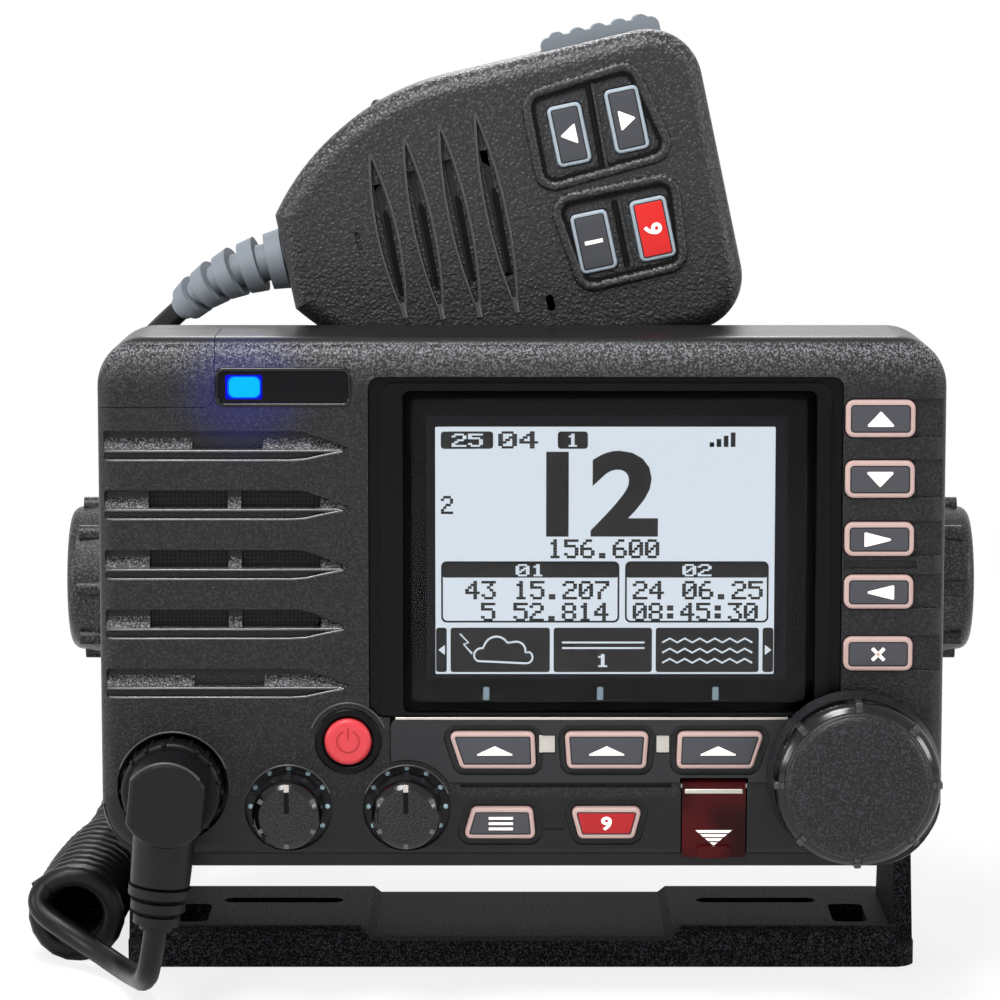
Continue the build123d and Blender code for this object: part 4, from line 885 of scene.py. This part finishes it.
class RADIO_OT_stage(RadioOperator, bpy.types.Operator):
    """Makes the pale floor, the soft lamps and the white surroundings"""
    bl_idname = "radio.stage"
    bl_label = "Stage"

    def execute(self, context):
        bm = bmesh.new()
        bm.faces.new([bm.verts.new((x, y, 0)) for x, y in ((-3, -3), (3, -3), (3, 3), (-3, 3))])
        mesh = bpy.data.meshes.new("floor")
        bm.to_mesh(mesh)
        bm.free()
        floor = bpy.data.objects.new("floor", mesh)
        context.collection.objects.link(floor)
        mesh.materials.append(self.floor_paint(context.scene.radio_colours.floor))
        for name, (place, size, power) in LAMPS.items():
            data = bpy.data.lights.new(name, "AREA")
            data.shape = "SQUARE"
            data.size = size
            data.energy = power
            made = bpy.data.objects.new(name, data)
            made.location = place
            made.rotation_euler = (LAMP_TARGET - made.location).to_track_quat("-Z", "Y").to_euler()
            context.collection.objects.link(made)
        self.surroundings(context.scene)
        context.scene.view_settings.view_transform = "Standard"
        return {"FINISHED"}

    @staticmethod
    def surroundings(scene):
        """White where the camera, a mirror or clear plastic sees it, and dimmer as a light."""
        world = bpy.data.worlds.new("surroundings")
        scene.world = world
        world.use_nodes = True
        tree = world.node_tree
        tree.nodes.clear()
        path = add(tree, "LightPath").outputs
        seen = compute(tree, "MAXIMUM", path["Is Camera Ray"], path["Is Transmission Ray"])
        any_ray = compute(tree, "MAXIMUM", seen, path["Is Glossy Ray"])
        level = remap(tree, any_ray, to_low=WORLD_LIGHT)
        white = add(tree, "Background", inputs={"Color": WHITE, "Strength": level})
        add(tree, "OutputWorld", inputs={"Surface": white.outputs[0]})

    @staticmethod
    def floor_paint(tone):
        """Matt white paint that the camera sees near white, with the object's shadow on it."""
        material, tree, shader = blank("matt_white_paint", Roughness=0.9, Base_Color=rgba(tone))
        path = add(tree, "LightPath").outputs
        place = add(tree, "TexCoord").outputs["Object"]
        away = add(tree, "VectorMath", {"operation": "LENGTH"}, {0: place})
        # beyond the object's shadow the floor runs into the white surroundings
        pale = remap(tree, away.outputs["Value"], 0.15, 0.6, 0.8, 1.0, smooth=True)
        share = multiply(tree, path["Is Camera Ray"], pale)
        glow = add(tree, "Emission", inputs={"Color": WHITE, "Strength": 1.0})
        both = add(tree, "MixShader", inputs={0: share, 1: shader.outputs[0], 2: glow.outputs[0]})
        tree.links.new(both.outputs[0], tree.nodes["Material Output"].inputs["Surface"])
        return material


# ---- display ------------------------------------------------------------------------------------
DISPLAY_BORDER = (-20.3, 56.4, 71.5, 128.1, 0.5)      # x0, x1, z0, z1 and corner radius
DISPLAY_FIELD = (-18.4, 53.8, 72.6, 125.7, 0.3)
# text, x, z, height and width
DARK_DIGITS = (("156.600", 17.4, 99.6, 4.1, 23.5), ("04", -0.8, 122.9, 3.7, 8.2),
               ("2", -15.9, 109.0, 3.9, 2.4), ("43 15.207", 3.3, 90.7, 4.0, 30.5),
               ("5 52.814", 4.9, 86.0, 4.0, 27.0), ("24 06.25", 37.5, 90.7, 4.0, 27.5),
               ("08:45:30", 37.0, 86.0, 4.0, 26.5))
PALE_DIGITS = (("25", -11.6, 122.85, 2.8, 6.4), ("1", 10.8, 122.85, 2.8, 2.6),
               ("01", 1.8, 95.0, 2.6, 6.0), ("02", 37.3, 95.0, 2.6, 6.0),
               ("1", 17.3, 75.5, 2.8, 2.8))
HEAD_BOXES = ((-17.2, -6.1, 121.0, 124.7), (7.6, 14.0, 121.0, 124.7))
FRAMED_BOXES = ((-17.2, 20.8), (22.0, 52.6))
FOOT_BOXES = ((-18.3, -16.0), (-15.2, 6.0), (6.8, 27.8), (28.6, 50.6), (51.4, 53.7))
CLOUD_ARCS = ((-8.6, 76.6, 1.6, 200, 80), (-5.4, 78.0, 2.7, 150, 30),      # x, z, radius, degrees
              (-1.2, 77.6, 2.0, 110, -10), (1.0, 76.2, 1.3, 60, -90))


class RADIO_OT_display(RadioOperator, bpy.types.Operator):
    """Makes the display: clear pane, black print, back-lit field and what it shows"""
    bl_idname = "radio.display"
    bl_label = "Display"

    def execute(self, context):
        x0, x1, front, back, z0, z1 = extent("display_lens")
        outer = rectangle(x0, x1, z0, z1, 1.4)
        border = rectangle(*DISPLAY_BORDER)
        bm = bmesh.new()
        slab(bm, outer, back, front, 0.25)
        pane = piece("display_pane", bm, "radio", "pane", "lens_black")
        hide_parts("display_lens")
        with Making("display_print", "radio", "print", "lens_black") as bm:
            band(bm, outer, border, back + 0.1, back + 0.04)
        glass = front_of("lcd_module")
        with Making("display_border", "radio", "lcd_edge", "lcd_glass") as bm:
            slab(bm, border, glass, glass - 0.04)
        with Making("display_field", "radio", "lcd", "lcd_glass") as bm:
            slab(bm, rectangle(*DISPLAY_FIELD), glass - 0.02, glass - 0.06)
        with Making("display_ticks", "radio", "tick", "lens_black") as bm:
            for x in (-7.6, 16.7, 41.3):
                slab(bm, rectangle(x - 0.65, x + 0.65, 67.3, 70.1, 0.1), front + 0.05, front - 0.03)
        with Making("display_dark_marks", "radio", "ink", "lcd_glass") as bm:
            self.dark_marks(bm, glass - 0.06)
        with Making("display_pale_marks", "radio", "lcd", "lcd_glass") as bm:
            self.pale_marks(bm, glass - 0.12)
        return {"FINISHED"}

    @staticmethod
    def dark_marks(bm, y):
        """Segments that are dark on the pale field."""
        digits(bm, "12", 17.05, 111.4, 18.4, y, bold=0.035, widen=1.18)
        for text, x, z, height, width in DARK_DIGITS:
            dot_digits(bm, text, x, z, height, width, y)
        for box in HEAD_BOXES:
            printed(bm, rectangle(*box, 0.7), y)
        for index in range(4):
            # the bars of a signal mark
            printed(bm, rectangle(39.8 + 1.5 * index, 40.8 + 1.5 * index, 121.4,
                                  122.4 + 0.7 * index, 0.1), y)
        for x0, x1 in FRAMED_BOXES:
            band(bm, rectangle(x0, x1, 83.7, 96.9, 1.2),
                 rectangle(x0 + 0.4, x1 - 0.4, 84.1, 96.5, 0.9), y, y - PRINT)
            printed(bm, rectangle(x0 + 0.2, x1 - 0.2, 93.4, 96.7, 0.6), y)
        for x0, x1 in FOOT_BOXES:
            printed(bm, rectangle(x0, x1, 73.0, 82.6, 0.6), y)

    @staticmethod
    def pale_marks(bm, y):
        """Marks left pale inside the dark boxes: digits, a cloud, lines, waves and arrows."""
        for text, x, z, height, width in PALE_DIGITS:
            dot_digits(bm, text, x, z, height, width, y)
        lines = [[(-13.2, 81.3), (-11.4, 79.4), (-12.4, 79.0), (-10.6, 77.0)]]
        cloud = [(-9.5, 75.4)]
        for x, z, radius, first, last in CLOUD_ARCS:
            cloud += [polar(x, z, radius, first + (last - first) * i / 6) for i in range(7)]
        lines.append(cloud + [cloud[0]])
        lines += [[(8.6, 79.4), (26.2, 79.4)], [(8.6, 78.2), (26.2, 78.2)]]
        lines += [[(30.0 + 1.6 * i, z + 0.9 * (i % 2)) for i in range(13)] for z in (79.4, 77.2, 75.0)]
        for line in lines:
            rod(bm, ring_at(line, y), 0.22, sides=6)
        for x, turn in ((-17.1, 180), (52.6, 0)):
            printed(bm, arrow_outline(x, 77.8, 1.4, 2.2, turn, 0.1), y)


# ---- keys ---------------------------------------------------------------------------------------
COLLAR = 1.0             # a key's hidden collar is this much larger than its cap
MARK_HEIGHT = 0.2        # thickness of a key's raised mark
MARK_SLOT = 2            # material slot of the mark, after the dark outline and the face
SOFT_Z = (52.7, 60.6)
LOW_Z = (37.5, 44.2)
# x at the bottom left, bottom right, top right and top left, then z at the bottom and the top
SLANTED_KEYS = {
    "soft_key_left": (-13.1, 3.0, 2.7, -15.7, SOFT_Z),
    "soft_key_middle": (9.7, 26.5, 27.1, 9.1, SOFT_Z),
    "soft_key_right": (33.0, 49.3, 51.9, 33.3, SOFT_Z),
    "menu_key": (-12.6, 3.0, 2.3, -10.6, LOW_Z),
    "channel_key": (12.2, 24.0, 25.8, 10.4, LOW_Z),
}
SIDE_KEYS = {"up_key": 90, "down_key": -90, "right_key": 0, "left_key": 180, "clear_key": None}


def key_face(name, outline, front, face, rim, marks, sign=None, place=None):
    """A painted face with its dark outline on a key, with outlines or a digit as its mark."""
    slot = "key_red" if "red" in face else "key_grey"
    with Making(name + "_face", name, "key_line " + face + " mark", slot, place) as bm:
        slab(bm, inset(outline, rim), front + 0.2, front - 0.04, 0.04)
        slab(bm, inset(outline, rim + 0.28), front + 0.1, front - 0.09, 0.06, slot=1, crown=0.14)
        y = front - 0.1
        for mark in marks:
            slab(bm, mark, y, y - MARK_HEIGHT, slot=MARK_SLOT)
        if sign:
            digits(bm, y=y, thick=MARK_HEIGHT, bold=0.03, slot=MARK_SLOT, **sign)


class RADIO_OT_panel_keys(RadioOperator, bpy.types.Operator):
    """Makes the faces and marks of the keys on the front panel"""
    bl_idname = "radio.panel_keys"
    bl_label = "Panel keys"

    def execute(self, context):
        rim = context.scene.radio_sizes.rim_width / MM
        for name, turn in SIDE_KEYS.items():
            x0, x1, front, _, z0, z1 = extent(name)
            x, z = (x0 + x1) / 2, (z0 + z1) / 2
            outline = rectangle(x0 + COLLAR, x1 - COLLAR, z0 + COLLAR, z1 - COLLAR, 1.8)
            if turn is None:
                marks = [bar_outline(x, z, 3.6, 0.75, angle) for angle in (45, -45)]
            else:
                long, wide = (6.4, 3.2) if turn in (0, 180) else (3.3, 6.2)
                marks = [arrow_outline(x, z, long, wide, turn, 0.25)]
            key_face(name, outline, front, "key_face", rim, marks)
        for name, (*corners_x, (z0, z1)) in SLANTED_KEYS.items():
            corners = list(zip(corners_x, (z0, z0, z1, z1)))
            x, z = sum(corners_x) / 4, (z0 + z1) / 2
            marks, sign, face = [], None, "key_face"
            if name.startswith("soft"):
                marks = [arrow_outline(x, z, 2.0, 8.6, 90, 0.15)]
            elif name == "menu_key":
                marks = [rectangle(x - 2.6, x + 2.6, z + step * 1.15 - 0.28, z + step * 1.15 + 0.28, 0.1)
                         for step in (-1, 0, 1)]
            else:
                sign, face = {"text": "9", "x": x, "z": z, "height": 3.0, "widen": 1.2}, "red_key"
            key_face(name, rounded(corners, 1.3), front_of(name), face, rim * 0.9, marks, sign)
        return {"FINISHED"}


class RADIO_OT_power_button(RadioOperator, bpy.types.Operator):
    """Makes the power button's raised mark and the black collar round it"""
    bl_idname = "radio.power_button"
    bl_label = "Power button"

    def execute(self, context):
        x, z, _, front = round_part("power_button")
        panel = front_of("front_bezel")
        gap = 28         # degrees left open on each side of the mark's stroke
        arc = [90 + gap + (360 - 2 * gap) * i / 24 for i in range(25)]
        with Making("power_mark", "power_button", "red_mark", "key_red") as bm:
            rod(bm, arc_at(x, z + 0.3, 2.35, front, arc), 0.2)
            rod(bm, [(x, front, z + 0.5), (x, front, z + 3.1)], 0.2)
        with Making("power_collar", "radio", "frame", "housing_black") as bm:
            band(bm, circle(x, z, 7.1), circle(x, z, 5.4), panel + 0.3, panel - 0.9, 0.5)
        return {"FINISHED"}


class RADIO_OT_flap(RadioOperator, bpy.types.Operator):
    """Makes the metal line, a painted highlight along the top of the flap's tab, and the striped arrow on the
    red flap
    """
    bl_idname = "radio.flap"
    bl_label = "Flap over the distress button"

    def execute(self, context):
        x0, x1 = extent("distress_cover")[:2]
        face = front_of("front_bezel") + 0.1
        middle = (x0 + x1) / 2
        with Making("flap_line", "distress_cover", "silver", "steel") as bm:
            # shallow, so that it passes below the soft-key trim when the flap swings up
            slab(bm, rectangle(x0 + 0.5, x1 - 0.5, 47.0, 48.1, 0.3), face + 0.4, face - 0.15, 0.3)
            # a thin silver rod along the top of the tab: a painted highlight line
            rod(bm, [(middle - 3.6, face - 0.1, 34.3), (middle + 3.6, face - 0.1, 34.3)], 0.14)
        tip, top, half = 35.7, 39.1, 3.9

        def reach(level):
            return half * (level - tip) / (top - tip)

        with Making("flap_stripes", "distress_cover", "mark", "key_grey") as bm:
            for index in range(4):
                high = top - index * 0.88
                low = high - 0.6
                slab(bm, [(middle - reach(low), low), (middle + reach(low), low),
                          (middle + reach(high), high), (middle - reach(high), high)],
                     face + 0.1, face - 0.06)
        return {"FINISHED"}


# ---- knobs --------------------------------------------------------------------------------------
# (radius, depth behind the front) of the rings round the knobs
KNOB_SKIRT = ((7.4, 3.4), (7.4, 1.6), (7.1, 0.9), (6.5, 0.4), (6.0, 0.1), (5.9, 0.0))
DIAL_SKIRT = ((17.7, 6.0), (17.7, 3.2), (17.4, 2.3), (16.4, 1.3), (15.6, 0.9), (15.3, 0.6))
WELL_DEPTH = 2.0         # depth of the small knobs' wells
DIAL_RIM, DIAL_CROWN = 14.9, 1.3


class RADIO_OT_knobs(RadioOperator, bpy.types.Operator):
    """Makes the scales, skirts, caps and pointers of the small knobs, and the dial's face and ribs"""
    bl_idname = "radio.knobs"
    bl_label = "Knobs"

    def execute(self, context):
        dot = context.scene.radio_sizes.dot_radius / MM
        for name in ("squelch_knob", "volume_knob"):
            self.small_knob(name, dot)
        x, z, _, front = round_part("selector_dial")
        with Making("dial_face", "selector_dial", "dial", "knob_black") as bm:
            crown = [(DIAL_RIM * math.cos(math.radians(a)), front - DIAL_CROWN * math.sin(math.radians(a)))
                     for a in range(0, 91, 10)]
            lathe(bm, x, z, [(DIAL_RIM, front + 0.4)] + crown, steps=72)
        with Making("dial_skirt", "selector_dial", "gloss", "knob_black") as bm:
            lathe(bm, x, z, [(radius, front + depth) for radius, depth in DIAL_SKIRT], steps=72)
        with Making("dial_ribs", "selector_dial", "lip", "knob_black") as bm:
            for turn in range(0, 360, 45):
                slab(bm, bar_outline(*polar(x, z, 16.4, turn), 2.8, 1.5, turn, 0.3),
                     front + 5.0, front + 0.7, 0.3)
        return {"FINISHED"}

    @staticmethod
    def small_knob(name, dot):
        x, z, radius, front = round_part(name)
        floor = front_of("front_bezel") + WELL_DEPTH
        reach = radius + 0.9
        with Making(name + "_dots", "radio", "dots", "lens_black") as bm:
            for step in range(-4, 6):
                lathe(bm, *polar(x, z, reach, 90 - 30 * step),
                      [(dot, floor), (dot * 0.8, floor - 0.12), (0, floor - 0.16)], steps=14)
            slab(bm, bar_outline(*polar(x, z, reach, 240), 1.5, 1.5, 60), floor, floor - 0.12)
        with Making(name + "_skirt", name, "gloss", "knob_black") as bm:
            lathe(bm, x, z, [(ring, front + depth) for ring, depth in KNOB_SKIRT])
        with Making(name + "_cap", name, "knob", "knob_black") as bm:
            slab(bm, circle(x, z, 5.75), front + 0.1, front - 0.12, 0.12)
        with Making(name + "_notches", name, "edge", "knob_black") as bm:
            for turn in (30, 150, 210, 270, 330):
                slab(bm, bar_outline(*polar(x, z, 6.35, turn), 1.2, 1.0, turn), front + 1.0, front, 0.1)
        with Making(name + "_pointer", name, "silver rubber", "knob_black") as bm:
            slab(bm, rectangle(x - 0.55, x + 0.55, z + 5.3, z + 6.9, 0.15), front + 1.0, front - 0.2, 0.05)
            slab(bm, rectangle(x - 0.55, x + 0.55, z + 0.7, z + 5.2, 0.15), front, front - 0.15, 0.02,
                 slot=1)


# ---- trim ---------------------------------------------------------------------------------------
LOUVRE_TOPS = (125.1, 112.5, 99.7, 86.9, 74.2)
# (x, depth behind the lip's line, distance below the louvre's top)
LOUVRE_EDGES = (((-88.3, 0.4, 4.3), (-87.0, 0, 4.3), (-60, 0, 4.3), (-38.4, 0, 4.2)),
                ((-88.0, 0.4, 6.2), (-86.8, 0, 6.3), (-49, 0, 6.3), (-46, 0, 6.1), (-42, 0, 5.2),
                 (-38.0, 0, 4.4)))
# node and how far its well reaches past it
WELLS = (("squelch_knob", 1.9), ("volume_knob", 1.9), ("plug_ring", 0.9), ("power_button", 2.2))


class RADIO_OT_trim(RadioOperator, bpy.types.Operator):
    """Makes the trim's lines and bars, the indicator, the rubbed edges with their painted highlights and the
    panel's lower lip
    """
    bl_idname = "radio.trim"
    bl_label = "Trim"

    def execute(self, context):
        panel = front_of("front_bezel")
        x0, x1, front, _, _, z1 = extent("soft_key_trim")
        with Making("trim_line", "radio", "silver", "steel") as bm:
            slab(bm, rectangle(x0 + 1.0, x1 - 1.0, z1 - 0.5, z1 + 0.05, 0.2), front + 0.5,
                 front - 0.12, 0.1)
        with Making("trim_bars", "radio", "silver", "steel") as bm:
            for bar_x0, bar_x1 in ((3.65, 7.15), (28.65, 31.55)):
                slab(bm, rectangle(bar_x0, bar_x1, 56.0, 59.8, 0.2), panel + 0.5, panel - 0.2, 0.15)
        self.indicator(panel)
        lip_y = panel + 0.1
        # rods along the louvres' ridges and lower lips, whose paler edge tone paints their highlight lines
        with Making("louvre_lips", "radio", "edge", "housing_black") as bm:
            for top in LOUVRE_TOPS:
                for line in LOUVRE_EDGES:
                    rod(bm, [(x, lip_y + depth, top - below) for x, depth, below in line], 0.28)
        self.lower_lip(panel)
        # painted highlight: rods along the upper arc of each well's rim only, in the paler lip tone
        with Making("well_rims", "radio", "lip", "housing_black") as bm:
            for node, reach in WELLS:
                x, z, radius, _ = round_part(node)
                rod(bm, arc_at(x, z, radius + reach, panel + 0.05, range(20, 161, 5)), 0.26)
        self.plug_details()
        return {"FINISHED"}

    @staticmethod
    def indicator(panel):
        """The rim round the indicator window and its lit part, brighter towards the middle."""
        x0, x1, front, _, z0, z1 = extent("indicator_lens")
        with Making("indicator_rim", "radio", "gloss", "housing_black") as bm:
            band(bm, rectangle(x0 - 0.9, x1 + 0.9, z0 - 0.9, z1 + 0.9, 1.8),
                 rectangle(x0 - 0.05, x1 + 0.05, z0 - 0.05, z1 + 0.05, 1.1), panel + 0.3, panel - 0.35, 0.4)
        left, right = LAMP_SPAN
        low, high = z0 + 0.7, z1 - 0.7
        with Making("indicator_lamp", "radio", "lamp_edge lamp_halo lamp", "lens_black") as bm:
            slab(bm, rectangle(left, right, low, high, 0.5), front + 0.1, front - 0.04)
            for slot, margin in ((1, 0.45), (2, 0.8)):
                slab(bm, rectangle(left + margin, right - margin * 0.7, low + margin * 0.6,
                                   high - margin * 0.6, 1.3), front, front - 0.04 - 0.04 * slot, slot=slot)

    @staticmethod
    def plug_details():
        """The bumps of the plug's ring, and a painted highlight along the upper edge of its disc."""
        x, z, radius, front = round_part("plug_ring")
        with Making("plug_ring_bumps", "plug_ring", "plug", "plug_black") as bm:
            for turn in (12, 36, 57, 98, 120, 142):
                lathe(bm, *polar(x, z, radius - 0.7, turn),
                      [(0.6, front + 0.4), (0.6, front - 0.1), (0.45, front - 0.4), (0.2, front - 0.5)],
                      steps=12)
        # painted highlight: a rod along the upper arc of the disc only, in the paler lip tone
        with Making("plug_edge", "radio", "lip", "plug_black") as bm:
            rod(bm, arc_at(x, z, 9.0, front_of("plug_body") + 0.35, range(38, 143, 4)), 0.35)

    @staticmethod
    def lower_lip(panel):
        """The moulded lip along the bottom of the panel, fading out round the corners."""
        x0, x1, _, back, z0, _ = extent("front_bezel")
        corner, drop, cover = 14.0, 2.2, 0.9
        sides = [(x0 + corner, math.radians(a)) for a in range(190, 271, 8)]
        sides += [(x1 - corner, math.radians(a)) for a in range(270, 351, 8)]
        outer = [(x + corner * math.cos(a), z0 + corner + (corner + drop) * math.sin(a))
                 for x, a in sides]
        inner = [(x + (corner - cover) * math.cos(a), z0 + corner + (corner - cover) * math.sin(a))
                 for x, a in reversed(sides)]
        rings = [[(x, y, z - grow) for x, z in outer] + ring_at(inner, y)
                 for y, grow in ((panel + 1.4, -0.5), (panel + 2.2, -0.12), (panel + 3.4, 0.0),
                                 (back - 0.4, 0.0))]
        with Making("panel_lower_lip", "radio", "housing", "housing_black") as bm:
            skin(bm, rings)


# ---- microphone ---------------------------------------------------------------------------------
# The microphone's own frame: x along it from the cord end, z across it.
MIC_PLACE = Matrix.Translation((-0.0529, 0, 0.158009)) @ Matrix.Rotation(math.radians(-12), 4, "Y")
MIC_FRONT = -31.5
MIC_LEAVES = ((24.4, 18.5), (32.4, 20.5), (40.5, 21.7), (48.7, 22.4))   # place and half length
LEAF_HALF_WIDTH = 2.2
MIC_KEYS = {
    "mic_left_key": (64.1, 71.6, 7.8, 21.2),
    "mic_right_key": (77.0, 84.6, 8.1, 22.2),
    "mic_power_key": (64.2, 72.4, -16.1, -2.9),
    "mic_channel_key": (77.5, 85.6, -16.2, -2.6),
}
MIC_FRAMES = {       # corners, then the ends of the bar between the two keys
    "upper": (((59.6, 3.9), (89.0, 5.8), (84.2, 26.6), (60.1, 24.5)), ((74.0, 5.6), (74.6, 24.4))),
    "lower": (((64.0, -19.2), (86.6, -18.6), (88.2, 0.9), (61.2, 0.9)), ((75.0, -16.4), (75.1, -1.6))),
}


class RADIO_OT_microphone(RadioOperator, bpy.types.Operator):
    """Makes the microphone's key frames, key faces and marks, and the edges of its grooves, with painted
    highlights on the edges and painted shade inside the frames and the grooves
    """
    bl_idname = "radio.microphone"
    bl_label = "Microphone"

    def execute(self, context):
        self.frames()
        self.leaves()
        for name, (u0, u1, v0, v1) in MIC_KEYS.items():
            u, v = (u0 + u1) / 2, (v0 + v1) / 2
            marks, sign, face = [], None, "key_face"
            if name == "mic_left_key":
                marks = [arrow_outline(u - 0.2, v, 3.6, 4.6, 180, 0.2)]
            elif name == "mic_right_key":
                marks = [arrow_outline(u + 0.2, v, 3.6, 4.6, 0, 0.2)]
            else:
                red = name == "mic_channel_key"
                face = "red_mic" if red else face
                sign = {"text": "9" if red else "1", "x": u, "z": v, "height": 4.0, "turn": -90}
            key_face(name, rectangle(u0, u1, v0, v1, 1.3), MIC_FRONT - 0.4, face, 0.75, marks, sign,
                     MIC_PLACE)
        return {"FINISHED"}

    @staticmethod
    def frames():
        """A raised rounded bead round each pair of keys with a black band inside it, a painted shadow of the
        pocket's wall, and a bar between the two keys.
        """
        for name, (corners, bar) in MIC_FRAMES.items():
            outer = rounded(corners, 3.4)
            with Making(name + "_key_frame", "microphone", "microphone rubber", "mic_black",
                        MIC_PLACE) as bm:
                band(bm, inset(outer, -1.2), inset(outer, 0.9), MIC_FRONT + 0.2, MIC_FRONT - 0.9, 0.9)
                # painted shadow: a black band inside the bead, where the pocket's wall shades the floor
                band(bm, inset(outer, 0.7), inset(outer, 1.7), MIC_FRONT + 0.1, MIC_FRONT - 0.05, slot=1)
                rod(bm, [(x - 0.7, MIC_FRONT + 0.2, z) for x, z in bar], 0.55, slot=1)
                rod(bm, [(x + 0.4, MIC_FRONT + 0.1, z) for x, z in bar], 0.4)

    @staticmethod
    def leaves():
        """Lips along the four leaf-shaped grooves and at their lower ends, in a paler tone that paints their
        highlights, and dark strips inside the grooves, a painted shade of their slots.
        """
        wide = LEAF_HALF_WIDTH
        with Making("leaf_lips", "microphone", "lip", "mic_black", MIC_PLACE) as bm:
            for u, half in MIC_LEAVES:
                reach = (half * half + wide * wide) / (2 * wide)
                turns = [math.asin(half / reach) * (1 - step / 10) for step in range(21)]
                for side in (-1, 1):
                    rod(bm, [(u + side * (reach * math.cos(a) - reach + wide), MIC_FRONT + 0.05,
                              1 + reach * math.sin(a)) for a in turns], 0.34)
                rod(bm, [(u, MIC_FRONT + 0.4, 4.6 - half), (u, MIC_FRONT + 0.1, 1.2 - half)], 0.75)
        # painted shade: dark strips on the grooves' floors, where their slots lie in shade
        with Making("leaf_slots", "microphone", "rubber", "mic_black", MIC_PLACE) as bm:
            for u, half in MIC_LEAVES:
                corners = [(u - 0.1, 6.0), (u - 0.3, -12.0), (u + 0.7, -13.6), (u + 1.3, 5.0), (u + 0.6, 7.0)]
                slab(bm, rounded(corners, 0.4, steps=3), MIC_FRONT + 1.6, MIC_FRONT + 1.44)


STEPS = [RADIO_OT_camera, RADIO_OT_finishes, RADIO_OT_cords, RADIO_OT_display, RADIO_OT_panel_keys,
         RADIO_OT_power_button, RADIO_OT_flap, RADIO_OT_knobs, RADIO_OT_trim, RADIO_OT_microphone,
         RADIO_OT_stage]


class RADIO_PT_panel(bpy.types.Panel):
    """Lists the steps that dress the radio"""
    bl_idname = "RADIO_PT_panel"
    bl_label = "Marine radio"
    bl_space_type = "VIEW_3D"
    bl_region_type = "UI"
    bl_category = "Radio"

    def draw(self, context):
        for step in STEPS:
            self.layout.operator(step.bl_idname)
        for group in (context.scene.radio_colours, context.scene.radio_sizes):
            for name in group.bl_rna.properties.keys():
                if name not in ("rna_type", "name"):
                    self.layout.prop(group, name)


CLASSES = [RadioColours, RadioSizes, *STEPS, RADIO_PT_panel]


def register():
    for cls in CLASSES:
        bpy.utils.register_class(cls)
    bpy.types.Scene.radio_colours = PointerProperty(type=RadioColours)
    bpy.types.Scene.radio_sizes = PointerProperty(type=RadioSizes)


def unregister():
    del bpy.types.Scene.radio_sizes
    del bpy.types.Scene.radio_colours
    for cls in reversed(CLASSES):
        bpy.utils.unregister_class(cls)


def main():
    register()
    for step in STEPS:
        group, action = step.bl_idname.split(".")
        getattr(getattr(bpy.ops, group), action)()


if __name__ == "__main__":
    main()
